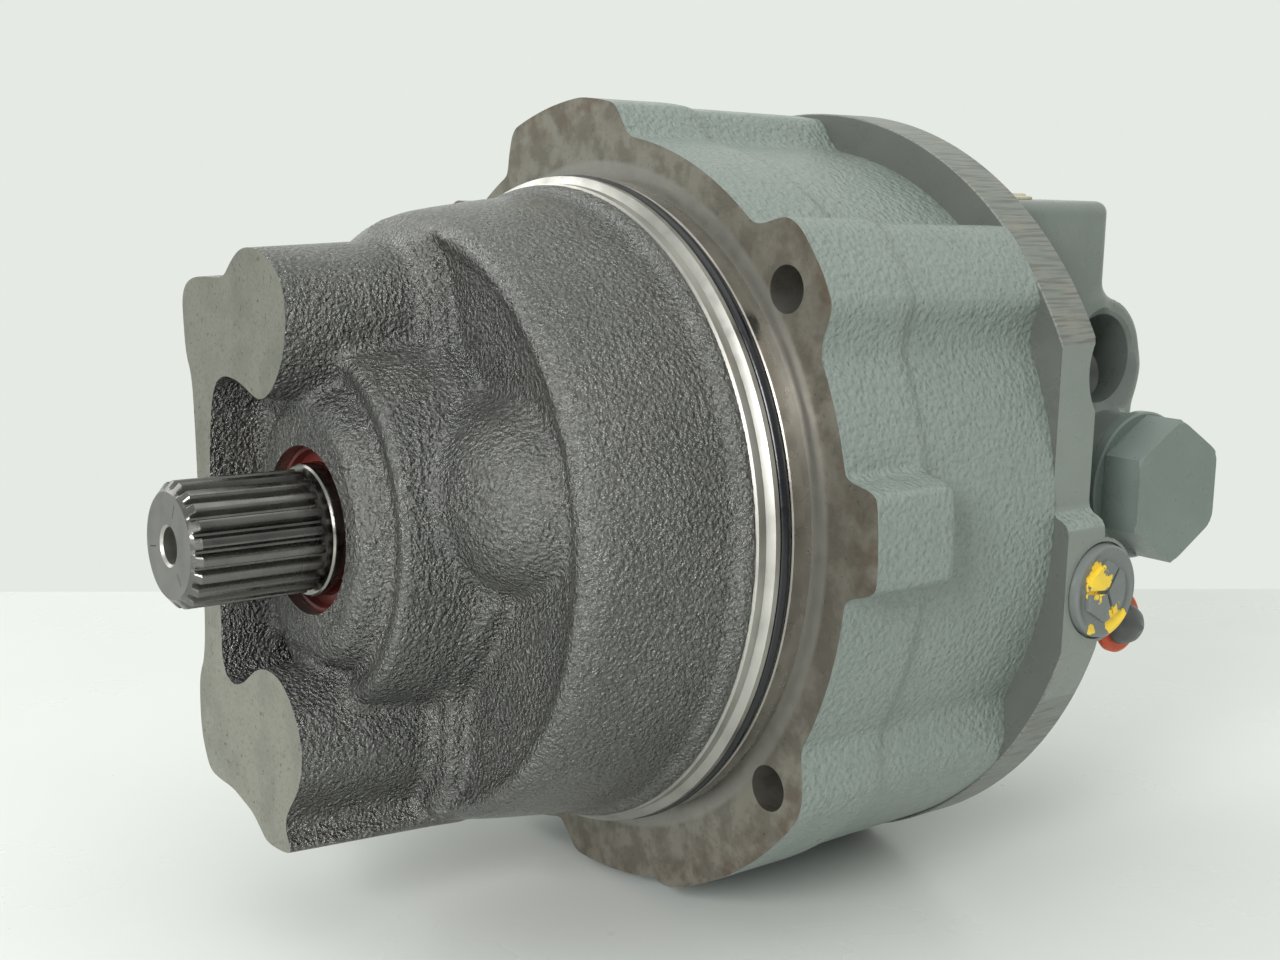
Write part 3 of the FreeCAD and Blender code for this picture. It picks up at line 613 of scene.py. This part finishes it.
def nose_field(p):
    """Drum, hub with its rings, servo bosses, stiffening web, stepped deck and bearing domes."""
    x, y, z = p
    r = np.hypot(y, z)
    drum = profile_field(x, r, [
        (-1, 0), (-1, 94.3), (-18.6, 94.3), (-18.6, 97.2), (-20.4, 97.3), (-22.3, 96.5),
        (-24.2, 94.8), (-26, 94.3), (-40, 92.8), (-56, 90.6), (-62, 89.6), (-66, 88.3),
        (-68.4, 86.2), (-68.9, 84.4), (-68, 82.6), (-66.6, 79.5), (-65.7, 74), (-65.4, 66),
        (-65.4, 0)])
    oval = np.hypot(y, 0.86 * z)
    hub = profile_field(x, oval, [
        (-60, 0), (-60, 48.5), (-70, 47.6), (-84, 45.8), (-94.2, 44.4), (-95.8, 43),
        (-95.4, 41), (-94.2, 38), (-94.6, 36), (-97, 34.5), (-100.3, 32.8), (-102, 29.5),
        (-102, 0)])
    deck = polygon_field(y, z, DECK)
    deck = smooth_max(deck, np.abs(x + 62) - 9.5, 4)
    body = smooth_min(drum, deck, 3.5)
    body = smooth_min(body, hub, 4)
    draft = 0.045 * (x - NOSE_X)
    front = polygon_field(y, z, cut_corners(NOSE_FACE)) - draft
    front = smooth_max(front, np.abs(x + 90) - 33, 1.5)
    body = smooth_min(body, front, 4.5)
    for side in (-1, 1):
        dome = ellipsoid(p, (-57.5, side * 45, 13.5), (27.5, 36.5, 27.5))
        body = smooth_min(body, dome, 4)
    facing = (-0.68, -0.2, 0.70)      # a flat witness mark on the drum's front corner
    pip = capsule(p, (-60, -16.4, 76.8), (-68.2, -18.8, 85.2), 2.9)
    pip = smooth_max(pip, sum(p[i] * facing[i] for i in range(3)) - 108.3, 0.4)
    return smooth_min(body, pip, 1)


def nose_casting():
    p = grid((NOSE_X - 4, -99, -99), (0, 99, 99))
    points, quads = surface_net(nose_field(p), p)
    item = new_object("nose_casting", points, quads, [IRON, FACED, TURNED, PILOT])
    ring = lathe("pilot_ring", [
        (-30, 60), (-18.7, 60), (-18.7, RING_R - 0.8), (-18.2, RING_R), (-15.6, RING_R),
        (-15.0, PILOT_R - 1.1), (-14.2, PILOT_R), (-12.6, PILOT_R), (-12.2, PILOT_R - 0.4),
        (-12.2, 96.9), (-8, 96.9), (-8, PILOT_R - 0.4), (-7.6, PILOT_R), (-3.5, PILOT_R),
        (-3, PILOT_R - 0.5), (-3, 98.8), (0, 98.8), (0, 60)], [], 360)
    combine(item, [ring], "UNION")
    tools = [
        block("facing", (NOSE_X - 30, -200, -200), (NOSE_X, 200, 200)),
        solid_rod("seal_bore", "X", (0, 0), 24.0, -130, -93, 120),
        solid_rod("passage", "X", (0, 0), 21.0, -94, -50, 120),
        solid_rod("bearing_bore", "X", (0, 0), 34.0, -88, -50, 120),
        solid_rod("cavity", "X", (0, 0), 80.0, -58, 20, 160),
        solid_rod("cradle_seat", "Y", (-19, 0), 43.6, -66, 66, 120),
        solid_rod("upper_servo_bore", "X", UPPER_BOSS, 14.0, -104, -50),
        solid_rod("lower_servo_bore", "X", LOWER_BOSS, 14.0, -104, -50),
    ]
    combine(item, tools, "DIFFERENCE")
    centres, normals = face_centres(item.data)
    r = np.hypot(centres[:, 1], centres[:, 2])
    slots = np.zeros(len(centres), np.int32)
    slots[(np.abs(centres[:, 0] - NOSE_X) < 0.1) & (normals[:, 0] < -0.9)] = 1
    slots[(centres[:, 0] > -19.0) & (r > 95.2)] = 3
    slots[(centres[:, 0] > -8.1) & (r > 95.2)] = 2
    slots[(r < 24.1) & (centres[:, 0] > -102) & (centres[:, 0] < -92)] = 2
    item.data.polygons.foreach_set("material_index", slots)
    finish_piece(item, "casing", ["motor_housing"], 32)


# ---------------------------------------------------------------- the painted body

BASE_R, BODY_TAPER, BOLT_CIRCLE, BOLT_CLOCK = 112.0, 1.2, 110.8, 40.0


def outline_radius(clock, base, side_pads):
    """The flange outline. Lobes hold the mounting holes; top, bottom and side pads stiffen it."""
    bolt = [(28.5, 0), (30.8, 3), (33.5, 10.6), (38, 12), (44.5, 12.6), (47, 11.2), (49.8, 2.5),
            (51.5, 0)]
    lower = [(-30, 0), (-31.5, 2), (-36, 9.5), (-39, 11.4), (-70.8, 10.6), (-72.8, 8.3)]
    top = [(83.5, 0), (85, 2.2), (88, 9.6), (96, 12), (113.6, 12), (116, 6), (118, 0)]
    bottom = [(-73.5, 7.6), (-93.5, 8), (-96, 3.5), (-98.5, 0)]
    side = [(-5, 0), (-3.4, 11), (-2.6, 12), (8.8, 12), (9.8, 11), (11.3, 0)]
    corners = top + bottom
    for group in (bolt, lower):
        corners = corners + group + [(180 - clock_, rise) for clock_, rise in group]
    if side_pads:
        corners = corners + side + [(180 - clock_, rise) for clock_, rise in side]
    corners = sorted(((clock_ + 180) % 360 - 180, rise) for clock_, rise in corners)
    angles = np.array([c[0] for c in corners])
    rises = np.array([c[1] for c in corners])
    padded = np.concatenate([[angles[-1] - 360], angles, [angles[0] + 360]])
    heights = np.concatenate([[rises[-1]], rises, [rises[0]]])
    return base + np.interp(clock, padded, heights)


def outline_field(y, z, base, side_pads):
    """Distance to the outline in the YZ plane, its corners rounded by averaging over angle."""
    clock = np.degrees(np.arctan2(z, -y))
    radius = np.hypot(y, z)
    reach = sum(outline_radius((clock + turn + 180) % 360 - 180, base, side_pads)
                for turn in np.linspace(-0.9, 0.9, 5)) / 5
    flat = (radius - reach)[0]
    down, across = np.gradient(flat, STEP)
    return (flat / np.maximum(np.hypot(down, across), 1))[None]


def body_field(p):
    """The body tapers a little from the flange back to the end cover."""
    x, y, z = p
    taper = BODY_TAPER * x / COVER_X
    columns = smooth_max(outline_field(y, z, BASE_R, False) + taper, np.abs(x - 40) - 60, 1)
    pads = smooth_max(outline_field(y, z, BASE_R, True), np.abs(x - 10) - 21, 3)
    return smooth_min(columns, pads, 4)


def bolt_spots():
    turn = math.radians(BOLT_CLOCK)
    y, z = BOLT_CIRCLE * math.cos(turn), BOLT_CIRCLE * math.sin(turn)
    return [(sy * y, sz * z) for sy in (-1, 1) for sz in (-1, 1)]


def flanged_body():
    p = grid((-4, -128, -128), (COVER_X + 4, 128, 128))
    points, quads = surface_net(body_field(p), p)
    item = new_object("flanged_body", points, quads, [PAINT, FLANGE, TURNED])
    tools = [
        block("front_plane", (-60, -200, -200), (FLANGE_X, 200, 200)),
        block("rear_plane", (COVER_X, -200, -200), (160, 200, 200)),
        solid_rod("front_cavity", "X", (0, 0), 80.0, -20, 12, 160),
        solid_rod("rear_cavity", "X", (0, 0), 94.0, 10, 120, 160),
    ]
    tools += [solid_rod(f"bolt_hole_{n}", "X", spot, 6.75, -20, 120, 48)
              for n, spot in enumerate(bolt_spots())]
    tools += [solid_rod(f"screw_tap_{n}", "X", spot, 6.0, COVER_X - 26, 120, 36)
              for n, spot in enumerate(screw_spots())]
    combine(item, tools, "DIFFERENCE")
    centres, normals = face_centres(item.data)
    slots = np.zeros(len(centres), np.int32)
    slots[np.hypot(centres[:, 1], centres[:, 2]) < 94.2] = 2
    slots[(centres[:, 0] < 0.05) & (normals[:, 0] < -0.9)] = 1
    for y, z in bolt_spots():
        slots[np.hypot(centres[:, 1] - y, centres[:, 2] - z) < 6.9] = 1
    item.data.polygons.foreach_set("material_index", slots)
    finish_piece(item, "casing", ["motor_housing"], 32)


def screw_spots(count=8, circle=102.0, start=20.0):
    turns = [math.radians(start + n * 360 / count) for n in range(count)]
    return [(circle * math.cos(t), circle * math.sin(t)) for t in turns]


# ---------------------------------------------------------------- the end cover

PORT, PORT_R, PLUG, SEALED = (159.5, 43.5), 15.1, (156.7, 3.6), (104.5, -20.0)
BLOCK_Y, PLUG_FACE_Y, SEALED_Y, NIPPLE = 70.0, -87.0, -116.5, (141.5, -39.5)
CAP_SPOT = (124.0, -54.0)
RIM_FLATS = [   # (y, z) of the cutter that flattens the near side of the disc in two steps
    (-140, 70), (-109.8, 70), (-109.8, 6.5), (-110.3, 4.6), (-111.7, 3.2), (-113.6, 2.4),
    (-115.2, 1.4), (-116.2, -0.2), (-116.5, -2), (-116.5, -60), (-140, -60)]


def cover_field(p):
    """The port block behind the disc with the bosses of its ports and plugs."""
    body = round_box(p, (96, -BLOCK_Y, -45), (159, BLOCK_Y, 96), 4)
    body = smooth_min(body, round_box(p, (96, -BLOCK_Y, -45), (180, BLOCK_Y, 43.5), 5), 5)
    body = smooth_min(body, rod(p, 1, PORT, 20.5, -BLOCK_Y, BLOCK_Y, 1.5), 6)
    body = smooth_min(body, rod(p, 1, PLUG, 23.0, PLUG_FACE_Y, -40, 1), 5)
    foot = rod(p, 0, (0, 0), 98, 96, 112, 4)
    body = smooth_min(body, foot, 10)
    return smooth_min(body, rod(p, 1, SEALED, 16.4, SEALED_Y, -50, 0.8), 4)


def end_cover():
    p = grid((74, -128, -60), (184, 76, 104))
    points, quads = surface_net(cover_field(p), p)
    item = new_object("end_cover_casting", points, quads, [PAINT, RIM, TURNED, DISC_LAND_PAINTED_SHADE, FLAT, BLOCK])
    disc = lathe("disc", [
        (80, 20), (80, 93), (80.6, 93.6), (87.7, 93.6), (87.75, 122.2), (88.2, 122.6),
        (104.0, 122.6), (105, 121.6), (105, 20)], [], 360)
    combine(item, [disc], "UNION")
    tools = [
        prism("rim_flats", RIM_FLATS, 60, REAR_X + 0.5),
        solid_rod("fitting_clearance", "Y", (121, 46), 20, -140, -103),
        solid_rod("near_port", "Y", PORT, PORT_R, -90, -20),
        solid_rod("far_port", "Y", PORT, PORT_R, 20, 90),
        lathe("near_port_mouth", [(-75, 1e-4), (-75, 21.5), (-68.5, PORT_R - 0.3),
                                  (-68.5, 1e-4)], [], 72, PORT, "Y"),
        solid_rod("plug_thread", "Y", PLUG, 16.5, -100, -48),
        solid_rod("sealed_seat", "Y", SEALED, 15.1, -130, SEALED_Y + 1.6),
        solid_rod("cap_port", "Z", CAP_SPOT, 5.9, 86, 100),
        solid_rod("nipple_port", "Y", NIPPLE, 5.0, -90, -58),
        solid_rod("rear_bearing_bore", "X", (0, 0), 27.5, 60, 103.5, 120),
    ]
    tools += [solid_rod(f"screw_hole_{n}", "X", spot, 6.5, 60, 200, 36)
              for n, spot in enumerate(screw_spots())]
    tools += [solid_rod(f"screw_seat_{n}", "X", spot, 10.0, REAR_X, 200, 48)
              for n, spot in enumerate(screw_spots())]
    tools += [solid_rod(f"mount_hole_{n}", "X", spot, 6.75, 60, 200, 48)
              for n, spot in enumerate(bolt_spots())]
    tools += [solid_rod(f"mount_seat_{n}", "X", spot, 12.75, REAR_X, 200, 48)
              for n, spot in enumerate(bolt_spots())]
    combine(item, tools, "DIFFERENCE")
    centres, normals = face_centres(item.data)
    r = np.hypot(centres[:, 1], centres[:, 2])
    slots = np.zeros(len(centres), np.int32)
    slots[(centres[:, 0] > 87) & (centres[:, 0] < 105.5) & (r > 121.4) & (r < 123)] = 1
    slots[(r < 94) & (centres[:, 0] < 104)] = 2
    # the disc's front face takes the dark colour that stands for its painted shade
    slots[(np.abs(centres[:, 0] - COVER_X) < 0.2) & (normals[:, 0] < -0.9)] = 3
    slots[centres[:, 0] > REAR_X + 0.2] = 5
    slots[(centres[:, 1] < -109) & (normals[:, 1] < -0.9)] = 4
    item.data.polygons.foreach_set("material_index", slots)
    finish_piece(item, "casing", ["end_cover"], 32)


# ---------------------------------------------------------------- shaft and small pieces

def spline_shaft():
    """The drive shaft with its involute teeth run out at both ends."""
    teeth, across = 21, 14
    root, crest, tip_x, run_out = 15.3, 17.46, -142.3, -104.5
    segments = teeth * across
    share = (np.arange(segments) % across) / across
    from_crest = np.abs(share - 0.5) * 2
    rise = np.clip((0.78 - from_crest) / 0.46, 0, 1)
    rise = np.sin(rise * math.pi / 2) ** 0.85
    turn = np.arange(segments) * math.tau / segments + 0.05
    stations = [   # (x, core radius, how far a tooth may stand)
        (tip_x, 14.6, 14.6), (tip_x + 0.25, 14.9, 14.9), (tip_x + 0.9, root, 15.6),
        (tip_x + 2.4, root, crest - 0.15), (tip_x + 2.9, root, crest), (-108.5, root, crest),
        (run_out, root + 0.3, crest), (run_out + 0.1, 15.2, 15.2), (-102.8, 15.2, 15.2)]
    points = []
    for x, core, limit in stations:
        radius = np.minimum(core + (crest - core) * rise, limit) if limit > core else core
        radius = np.broadcast_to(radius, segments)
        points.append(np.stack([np.full(segments, x), -radius * np.cos(turn),
                                radius * np.sin(turn)], 1))
    plain = [(-102.7, 18.2), (-102.2, 18.75), (-101.6, 18.9), (-90, 18.9), (-90, 20), (-68, 20),
             (-68, 17.5), (-34, 17.5), (-34, 16), (80, 16), (80, 15), (102, 15), (103, 14)]
    hole = [(103, 1e-3), (-109, 1e-3), (-112.5, 5.1), (tip_x + 0.7, 5.1), (tip_x, 5.8)]
    for x, radius in plain + hole:
        points.append(np.stack([np.full(segments, x), -radius * np.cos(turn),
                                radius * np.sin(turn)], 1))
    rings = len(points)
    item = new_object("splined_drive_shaft", np.concatenate(points),
                      ring_faces(rings, segments, True), [SHAFT, SHAFT_FACE, COLLAR, PILOT])
    make_outward(item)
    centres, _ = face_centres(item.data)
    r = np.hypot(centres[:, 1], centres[:, 2])
    slots = np.zeros(len(centres), np.int32)
    slots[(centres[:, 0] < tip_x + 0.05) & (r > 6)] = 1
    slots[(centres[:, 0] < -100) & (r < 6.2)] = 3
    slots[(centres[:, 0] > -102.9) & (r > 15.1)] = 2
    item.data.polygons.foreach_set("material_index", slots)
    finish_piece(item, "rotating_group", ["drive_shaft"], 25)


def shaft_face():
    """The faced shaft end, with three short scribed lines."""
    s = Shader("shaft_end_face", (0.20, 0.195, 0.185), 0.9, 0.36)
    s.paint(s.ramp(s.noise(7, 4), 0.42, 0.7, 0, 0.5), (0.13, 0.125, 0.12))
    _, y, z = s.coordinate()
    radius = s.radius()
    band = s.maths("MULTIPLY", s.maths("GREATER_THAN", radius, 0.0085),
                   s.maths("LESS_THAN", radius, 0.0125))
    marks = None
    for degrees in (20, 140, 260):
        a = math.radians(degrees)
        across = s.maths("ADD", s.maths("MULTIPLY", y, math.cos(a)),
                         s.maths("MULTIPLY", z, math.sin(a)))
        along = s.maths("ADD", s.maths("MULTIPLY", y, -math.sin(a)),
                        s.maths("MULTIPLY", z, math.cos(a)))
        line = s.maths("MULTIPLY", s.maths("LESS_THAN", s.maths("ABSOLUTE", across, 0), 0.0002),
                       s.maths("GREATER_THAN", along, 0))
        marks = line if marks is None else s.maths("MAXIMUM", marks, line)
    s.paint(s.maths("MULTIPLY", marks, band), (0.03, 0.03, 0.03))
    s.bump(s.noise(0.7, 2), 0.02)
    return s.material


SHAFT_FACE = shaft_face()


def hex_prism(name, y_low, y_high, centre, flats, materials, chamfer=2.2):
    """A hexagon head along Y with two corners up and down, its outer corners turned off."""
    segments = 72
    turn = np.arange(segments) * math.tau / segments
    apothem = flats / 2
    side = apothem / np.cos(turn % (math.pi / 3) - math.pi / 6)
    corner = apothem / math.cos(math.pi / 6)
    rings = [(y_low, corner - chamfer)]
    rings += [(y_low + share * 0.5 * chamfer, corner + (share - 1) * chamfer + 0.01)
              for share in (0.5, 1.0)]
    rings += [(y_high - 0.3, corner + 1), (y_high, corner - 0.4)]
    points = [np.stack([np.full(segments, centre[0]), np.full(segments, y_low),
                        np.full(segments, centre[1])], 1)]
    for y, limit in rings:
        radius = np.minimum(side, limit)
        points.append(np.stack([centre[0] + radius * np.sin(turn), np.full(segments, y),
                                centre[1] + radius * np.cos(turn)], 1))
    points.append(np.stack([np.full(segments, centre[0]), np.full(segments, y_high),
                            np.full(segments, centre[1])], 1))
    item = new_object(name, np.concatenate(points), ring_faces(len(points), segments, False),
                      materials)
    weld(item)
    return item


def weld(item):
    work = bmesh.new()
    work.from_mesh(item.data)
    bmesh.ops.remove_doubles(work, verts=work.verts, dist=1e-6)
    bmesh.ops.dissolve_degenerate(work, edges=work.edges, dist=1e-7)
    bmesh.ops.recalc_face_normals(work, faces=work.faces)
    work.to_mesh(item.data)
    work.free()


def plugs():
    head = hex_prism("large_plug_head", PLUG_FACE_Y - 18, PLUG_FACE_Y - 4, PLUG, 41.0, [SMOOTH],
                     1.2)
    neck = solid_rod("large_plug_neck", "Y", PLUG, 16.4, PLUG_FACE_Y - 4.5, PLUG_FACE_Y + 19)
    combine(head, [neck], "UNION")
    finish_piece(head, "casing", ["large_hex_plug"], 30)
    washer = lathe("large_plug_seal_ring", [
        (PLUG_FACE_Y - 4, 16.6), (PLUG_FACE_Y - 4, 23.9), (PLUG_FACE_Y - 3.4, 24.5),
        (PLUG_FACE_Y - 0.5, 24.5), (PLUG_FACE_Y, 24.1), (PLUG_FACE_Y, 16.6)], [SMOOTH], 120,
        PLUG, "Y")
    finish_piece(washer, "casing", ["large_plug_washer"])
    top = SEALED_Y
    plug = lathe("sealed_side_plug", [
        (top - 2.0, 1e-3), (top - 1.6, 10.0), (top - 1.7, 11.6), (top - 2.4, 12.8),
        (top - 2.4, 13.5), (top - 1.8, 14.2), (top - 0.2, 14.5), (top + 1.4, 14.5),
        (top + 1.4, 9.0), (top + 8.0, 8.8), (top + 8.0, 1e-3)], [MARKED], 96, SEALED, "Y")
    centre = hex_prism("sealed_plug_centre", top - 3.0, top - 0.8, SEALED, 17.0, [MARKED], 1.4)
    combine(plug, [centre], "UNION")
    grooves = []
    for degrees in (-65, 55, 175):
        groove = block(f"groove_{degrees}", (0, top - 6, -0.6), (10.5, top - 1.7, 0.6))
        groove.data.transform(Matrix.Rotation(math.radians(-degrees), 4, "Y"))
        groove.data.transform(Matrix.Translation(Vector((SEALED[0], 0, SEALED[1])) * MM))
        grooves.append(groove)
    combine(plug, grooves, "DIFFERENCE")
    finish_piece(plug, "casing", ["sealed_plug"], 30)
    cap = lathe("port_transport_cap", [
        (98, 1e-3), (98, 5.6), (97.8, 6.2), (97.3, 6.5), (97.2, 7.9), (96.8, 8.5),
        (96.1, 8.5), (96.0, 5.8), (88, 5.6), (87, 5.0), (87, 1e-3)], [CAP], 72, CAP_SPOT, "Z")
    finish_piece(cap, "casing", ["top_port_cap"])


def bleed_nipple():
    body = lathe("bleed_nipple_body", [
        (-102.5, 1e-3), (-102.5, 3.6), (-98, 3.7), (-94.8, 5.0), (-80, 5.0), (-60, 4.9),
        (-60, 1e-3)], [DARK_STEEL], 48, NIPPLE, "Y")
    finish_piece(body, "casing", ["bleed_nipple"])
    nut = hex_prism("bleed_nipple_hexagon", -80, -70, NIPPLE, 14.0, [DARK_STEEL], 1.0)
    finish_piece(nut, "casing", ["bleed_nipple"], 30)
    ring = lathe("bleed_nipple_mark_ring", [
        (-98, 5.1), (-98, 9.2), (-97.4, 10), (-95.6, 10), (-95, 9.4), (-95, 5.1)], [ORANGE], 72,
        NIPPLE, "Y")
    finish_piece(ring, "casing", ["bleed_nipple_ring"])
    cap = lathe("bleed_nipple_dust_cap", [
        (-106.9, 1e-3), (-106.5, 0.5), (-105.4, 1.4), (-104.7, 3.2), (-103.2, 5.1),
        (-101, 6.4), (-98.6, 7.0), (-98.05, 6.8), (-98.05, 3.9), (-102.6, 3.8),
        (-102.6, 1e-3)], [GREY_CAP], 72, NIPPLE, "Y")
    finish_piece(cap, "casing", ["bleed_nipple_cap"])


def seals():
    ring = lathe("pilot_seal_ring", [
        (-10.1 + 1.95 * math.cos(a), 98.75 + 1.75 * math.sin(a))
        for a in np.linspace(0, math.tau, 20, endpoint=False)], [RUBBER], 360)
    finish_piece(ring, "casing", ["pilot_oring"], 60)
    # the lip seal's dark red includes painted shade for its recess
    lip = lathe("shaft_lip_seal", [
        (-98.2, 23.9), (-98.4, 23.2), (-98.0, 22.6), (-95.8, 22.0), (-96.8, 19.1),
        (-95.6, 19.0), (-94.4, 21.0), (-93.1, 21.4), (-93.1, 23.9)], [SEAL_RED_PAINTED_SHADE], 144)
    finish_piece(lip, "casing", ["shaft_seal"])


def cover_screws():
    """Socket head cap screws, sunk against the cover."""
    parts = []
    for number, spot in enumerate(screw_spots()):
        screw = lathe(f"end_cover_screw_{number + 1}", [
            (63.8, 1e-3), (63.8, 5.2), (64.6, 5.95), (105, 5.95), (105, 8.7), (105.3, 9.0),
            (116.4, 9.0), (117, 8.3), (117, 5.9), (116.6, 5.6), (111, 5.6), (111, 1e-3)],
            [DARK_STEEL], 60, spot)
        socket = solid_rod("socket", "X", spot, 5.78, 110.8, 120, 6)
        combine(screw, [socket], "DIFFERENCE")
        finish_piece(screw, "casing", ["end_cover_screws"], 30)
        parts.append(screw)
    return parts


def dress_frame():
    """Gives every CAD node that stays its own metal."""
    looks = {"cradle_bearing": BRONZE, "slipper": BRONZE, "valve_plate": BRONZE,
             "valve_plate_pin": GROUND, "end_cover_seal": RUBBER, "swashplate": DARK_STEEL,
             "front_bearing": GROUND, "rear_bearing": GROUND, "block_spring": DARK_STEEL}
    for name, item in nodes.items():
        look = GROUND
        for start, material in looks.items():
            if name.startswith(start):
                look = material
        item.data.materials.clear()
        item.data.materials.append(look)
        shade(item, 30)


# ---------------------------------------------------------------- stage

FLOOR_Z = -122.8


def stage():
    """A pale glossy table. Its far edge lies behind the object; the room is the world's colour."""
    look = Shader("pale_table", (0.74, 0.76, 0.735), 0.0, 0.3, Specular_IOR_Level=0.3)
    look.paint(look.ramp(look.noise(160, 3), 0.4, 0.7, 0, 0.5), (0.70, 0.715, 0.695))
    look.roughen(look.ramp(look.noise(60, 4), 0.35, 0.7, 0.26, 0.4))
    edge = math.radians(-31.5)
    along = Vector((math.cos(edge), math.sin(edge), 0))
    away = Vector((-math.sin(edge), math.cos(edge), 0))
    middle = Vector((230, 300, 0))
    corners = [middle + along * a - away * b for a, b in
               ((-3000, 0), (-3000, 5000), (3000, 5000), (3000, 0))]
    table = new_object("table", [(p.x, p.y, z) for z in (FLOOR_Z, FLOOR_Z - 30)
                                 for p in corners],
                       [(0, 1, 2, 3), (7, 6, 5, 4)]
                       + [(i, i + 4, (i + 1) % 4 + 4, (i + 1) % 4) for i in range(4)],
                       [look.material])


def area_light(name, place, target, size, power, colour=(1, 1, 1)):
    data = bpy.data.lights.new(name, "AREA")
    data.shape = "RECTANGLE"
    data.size, data.size_y = size
    data.energy = power
    data.color = colour
    item = bpy.data.objects.new(name, data)
    bpy.context.scene.collection.objects.link(item)
    item.location = place
    item.rotation_euler = (Vector(target) - Vector(place)).to_track_quat("-Z", "Y").to_euler()


def room():
    """Soft light from a pale room, darker on the side the camera stands."""
    world = bpy.data.worlds.new("soft_room")
    world.use_nodes = True
    tree = world.node_tree
    place = tree.nodes.new("ShaderNodeTexCoord")
    lean = tree.nodes.new("ShaderNodeVectorMath")
    lean.operation = "DOT_PRODUCT"
    lean.inputs[1].default_value = (0.40, 0.55, 0.73)
    share = tree.nodes.new("ShaderNodeMapRange")
    share.inputs["From Min"].default_value = -0.55
    share.inputs["From Max"].default_value = 0.45
    mix = tree.nodes.new("ShaderNodeMix")
    mix.data_type = "RGBA"
    mix.inputs["A"].default_value = (0.19, 0.20, 0.197, 1)
    mix.inputs["B"].default_value = (0.785, 0.825, 0.775, 1)
    tree.links.new(place.outputs["Generated"], lean.inputs[0])
    tree.links.new(lean.outputs["Value"], share.inputs["Value"])
    tree.links.new(share.outputs["Result"], mix.inputs["Factor"])
    tree.links.new(mix.outputs["Result"], tree.nodes["Background"].inputs["Color"])
    bpy.context.scene.world = world


def lights():
    area_light("ceiling", (-0.15, -0.1, 1.4), (0, 0, 0), (1.5, 1.2), 4.5)
    area_light("window", (-1.4, -0.75, 0.6), (0, 0, 0), (0.5, 0.7), 23)
    area_light("far_window", (-0.5, 1.6, 0.9), (0, 0, 0), (1.2, 0.8), 8)
    room()
    bpy.context.scene.view_settings.view_transform = "Standard"


def camera():
    data = bpy.data.cameras.new("camera")
    data.sensor_width = 36.0
    data.lens = 48.79
    data.shift_x, data.shift_y = -0.0022, -0.0136
    item = bpy.data.objects.new("camera", data)
    forward = Vector((0.60812, 0.77664, -0.16439))
    up = Vector((0.08171, 0.14474, 0.98609))
    right = forward.cross(up)
    turn = Matrix((right, up, -forward)).transposed().to_4x4()
    item.matrix_world = Matrix.Translation((-0.3224, -0.4349, 0.1014)) @ turn
    bpy.context.scene.collection.objects.link(item)
    bpy.context.scene.camera = item


nose_casting()
flanged_body()
end_cover()
spline_shaft()
plugs()
bleed_nipple()
seals()
cover_screws()
dress_frame()
stage()
lights()
camera()
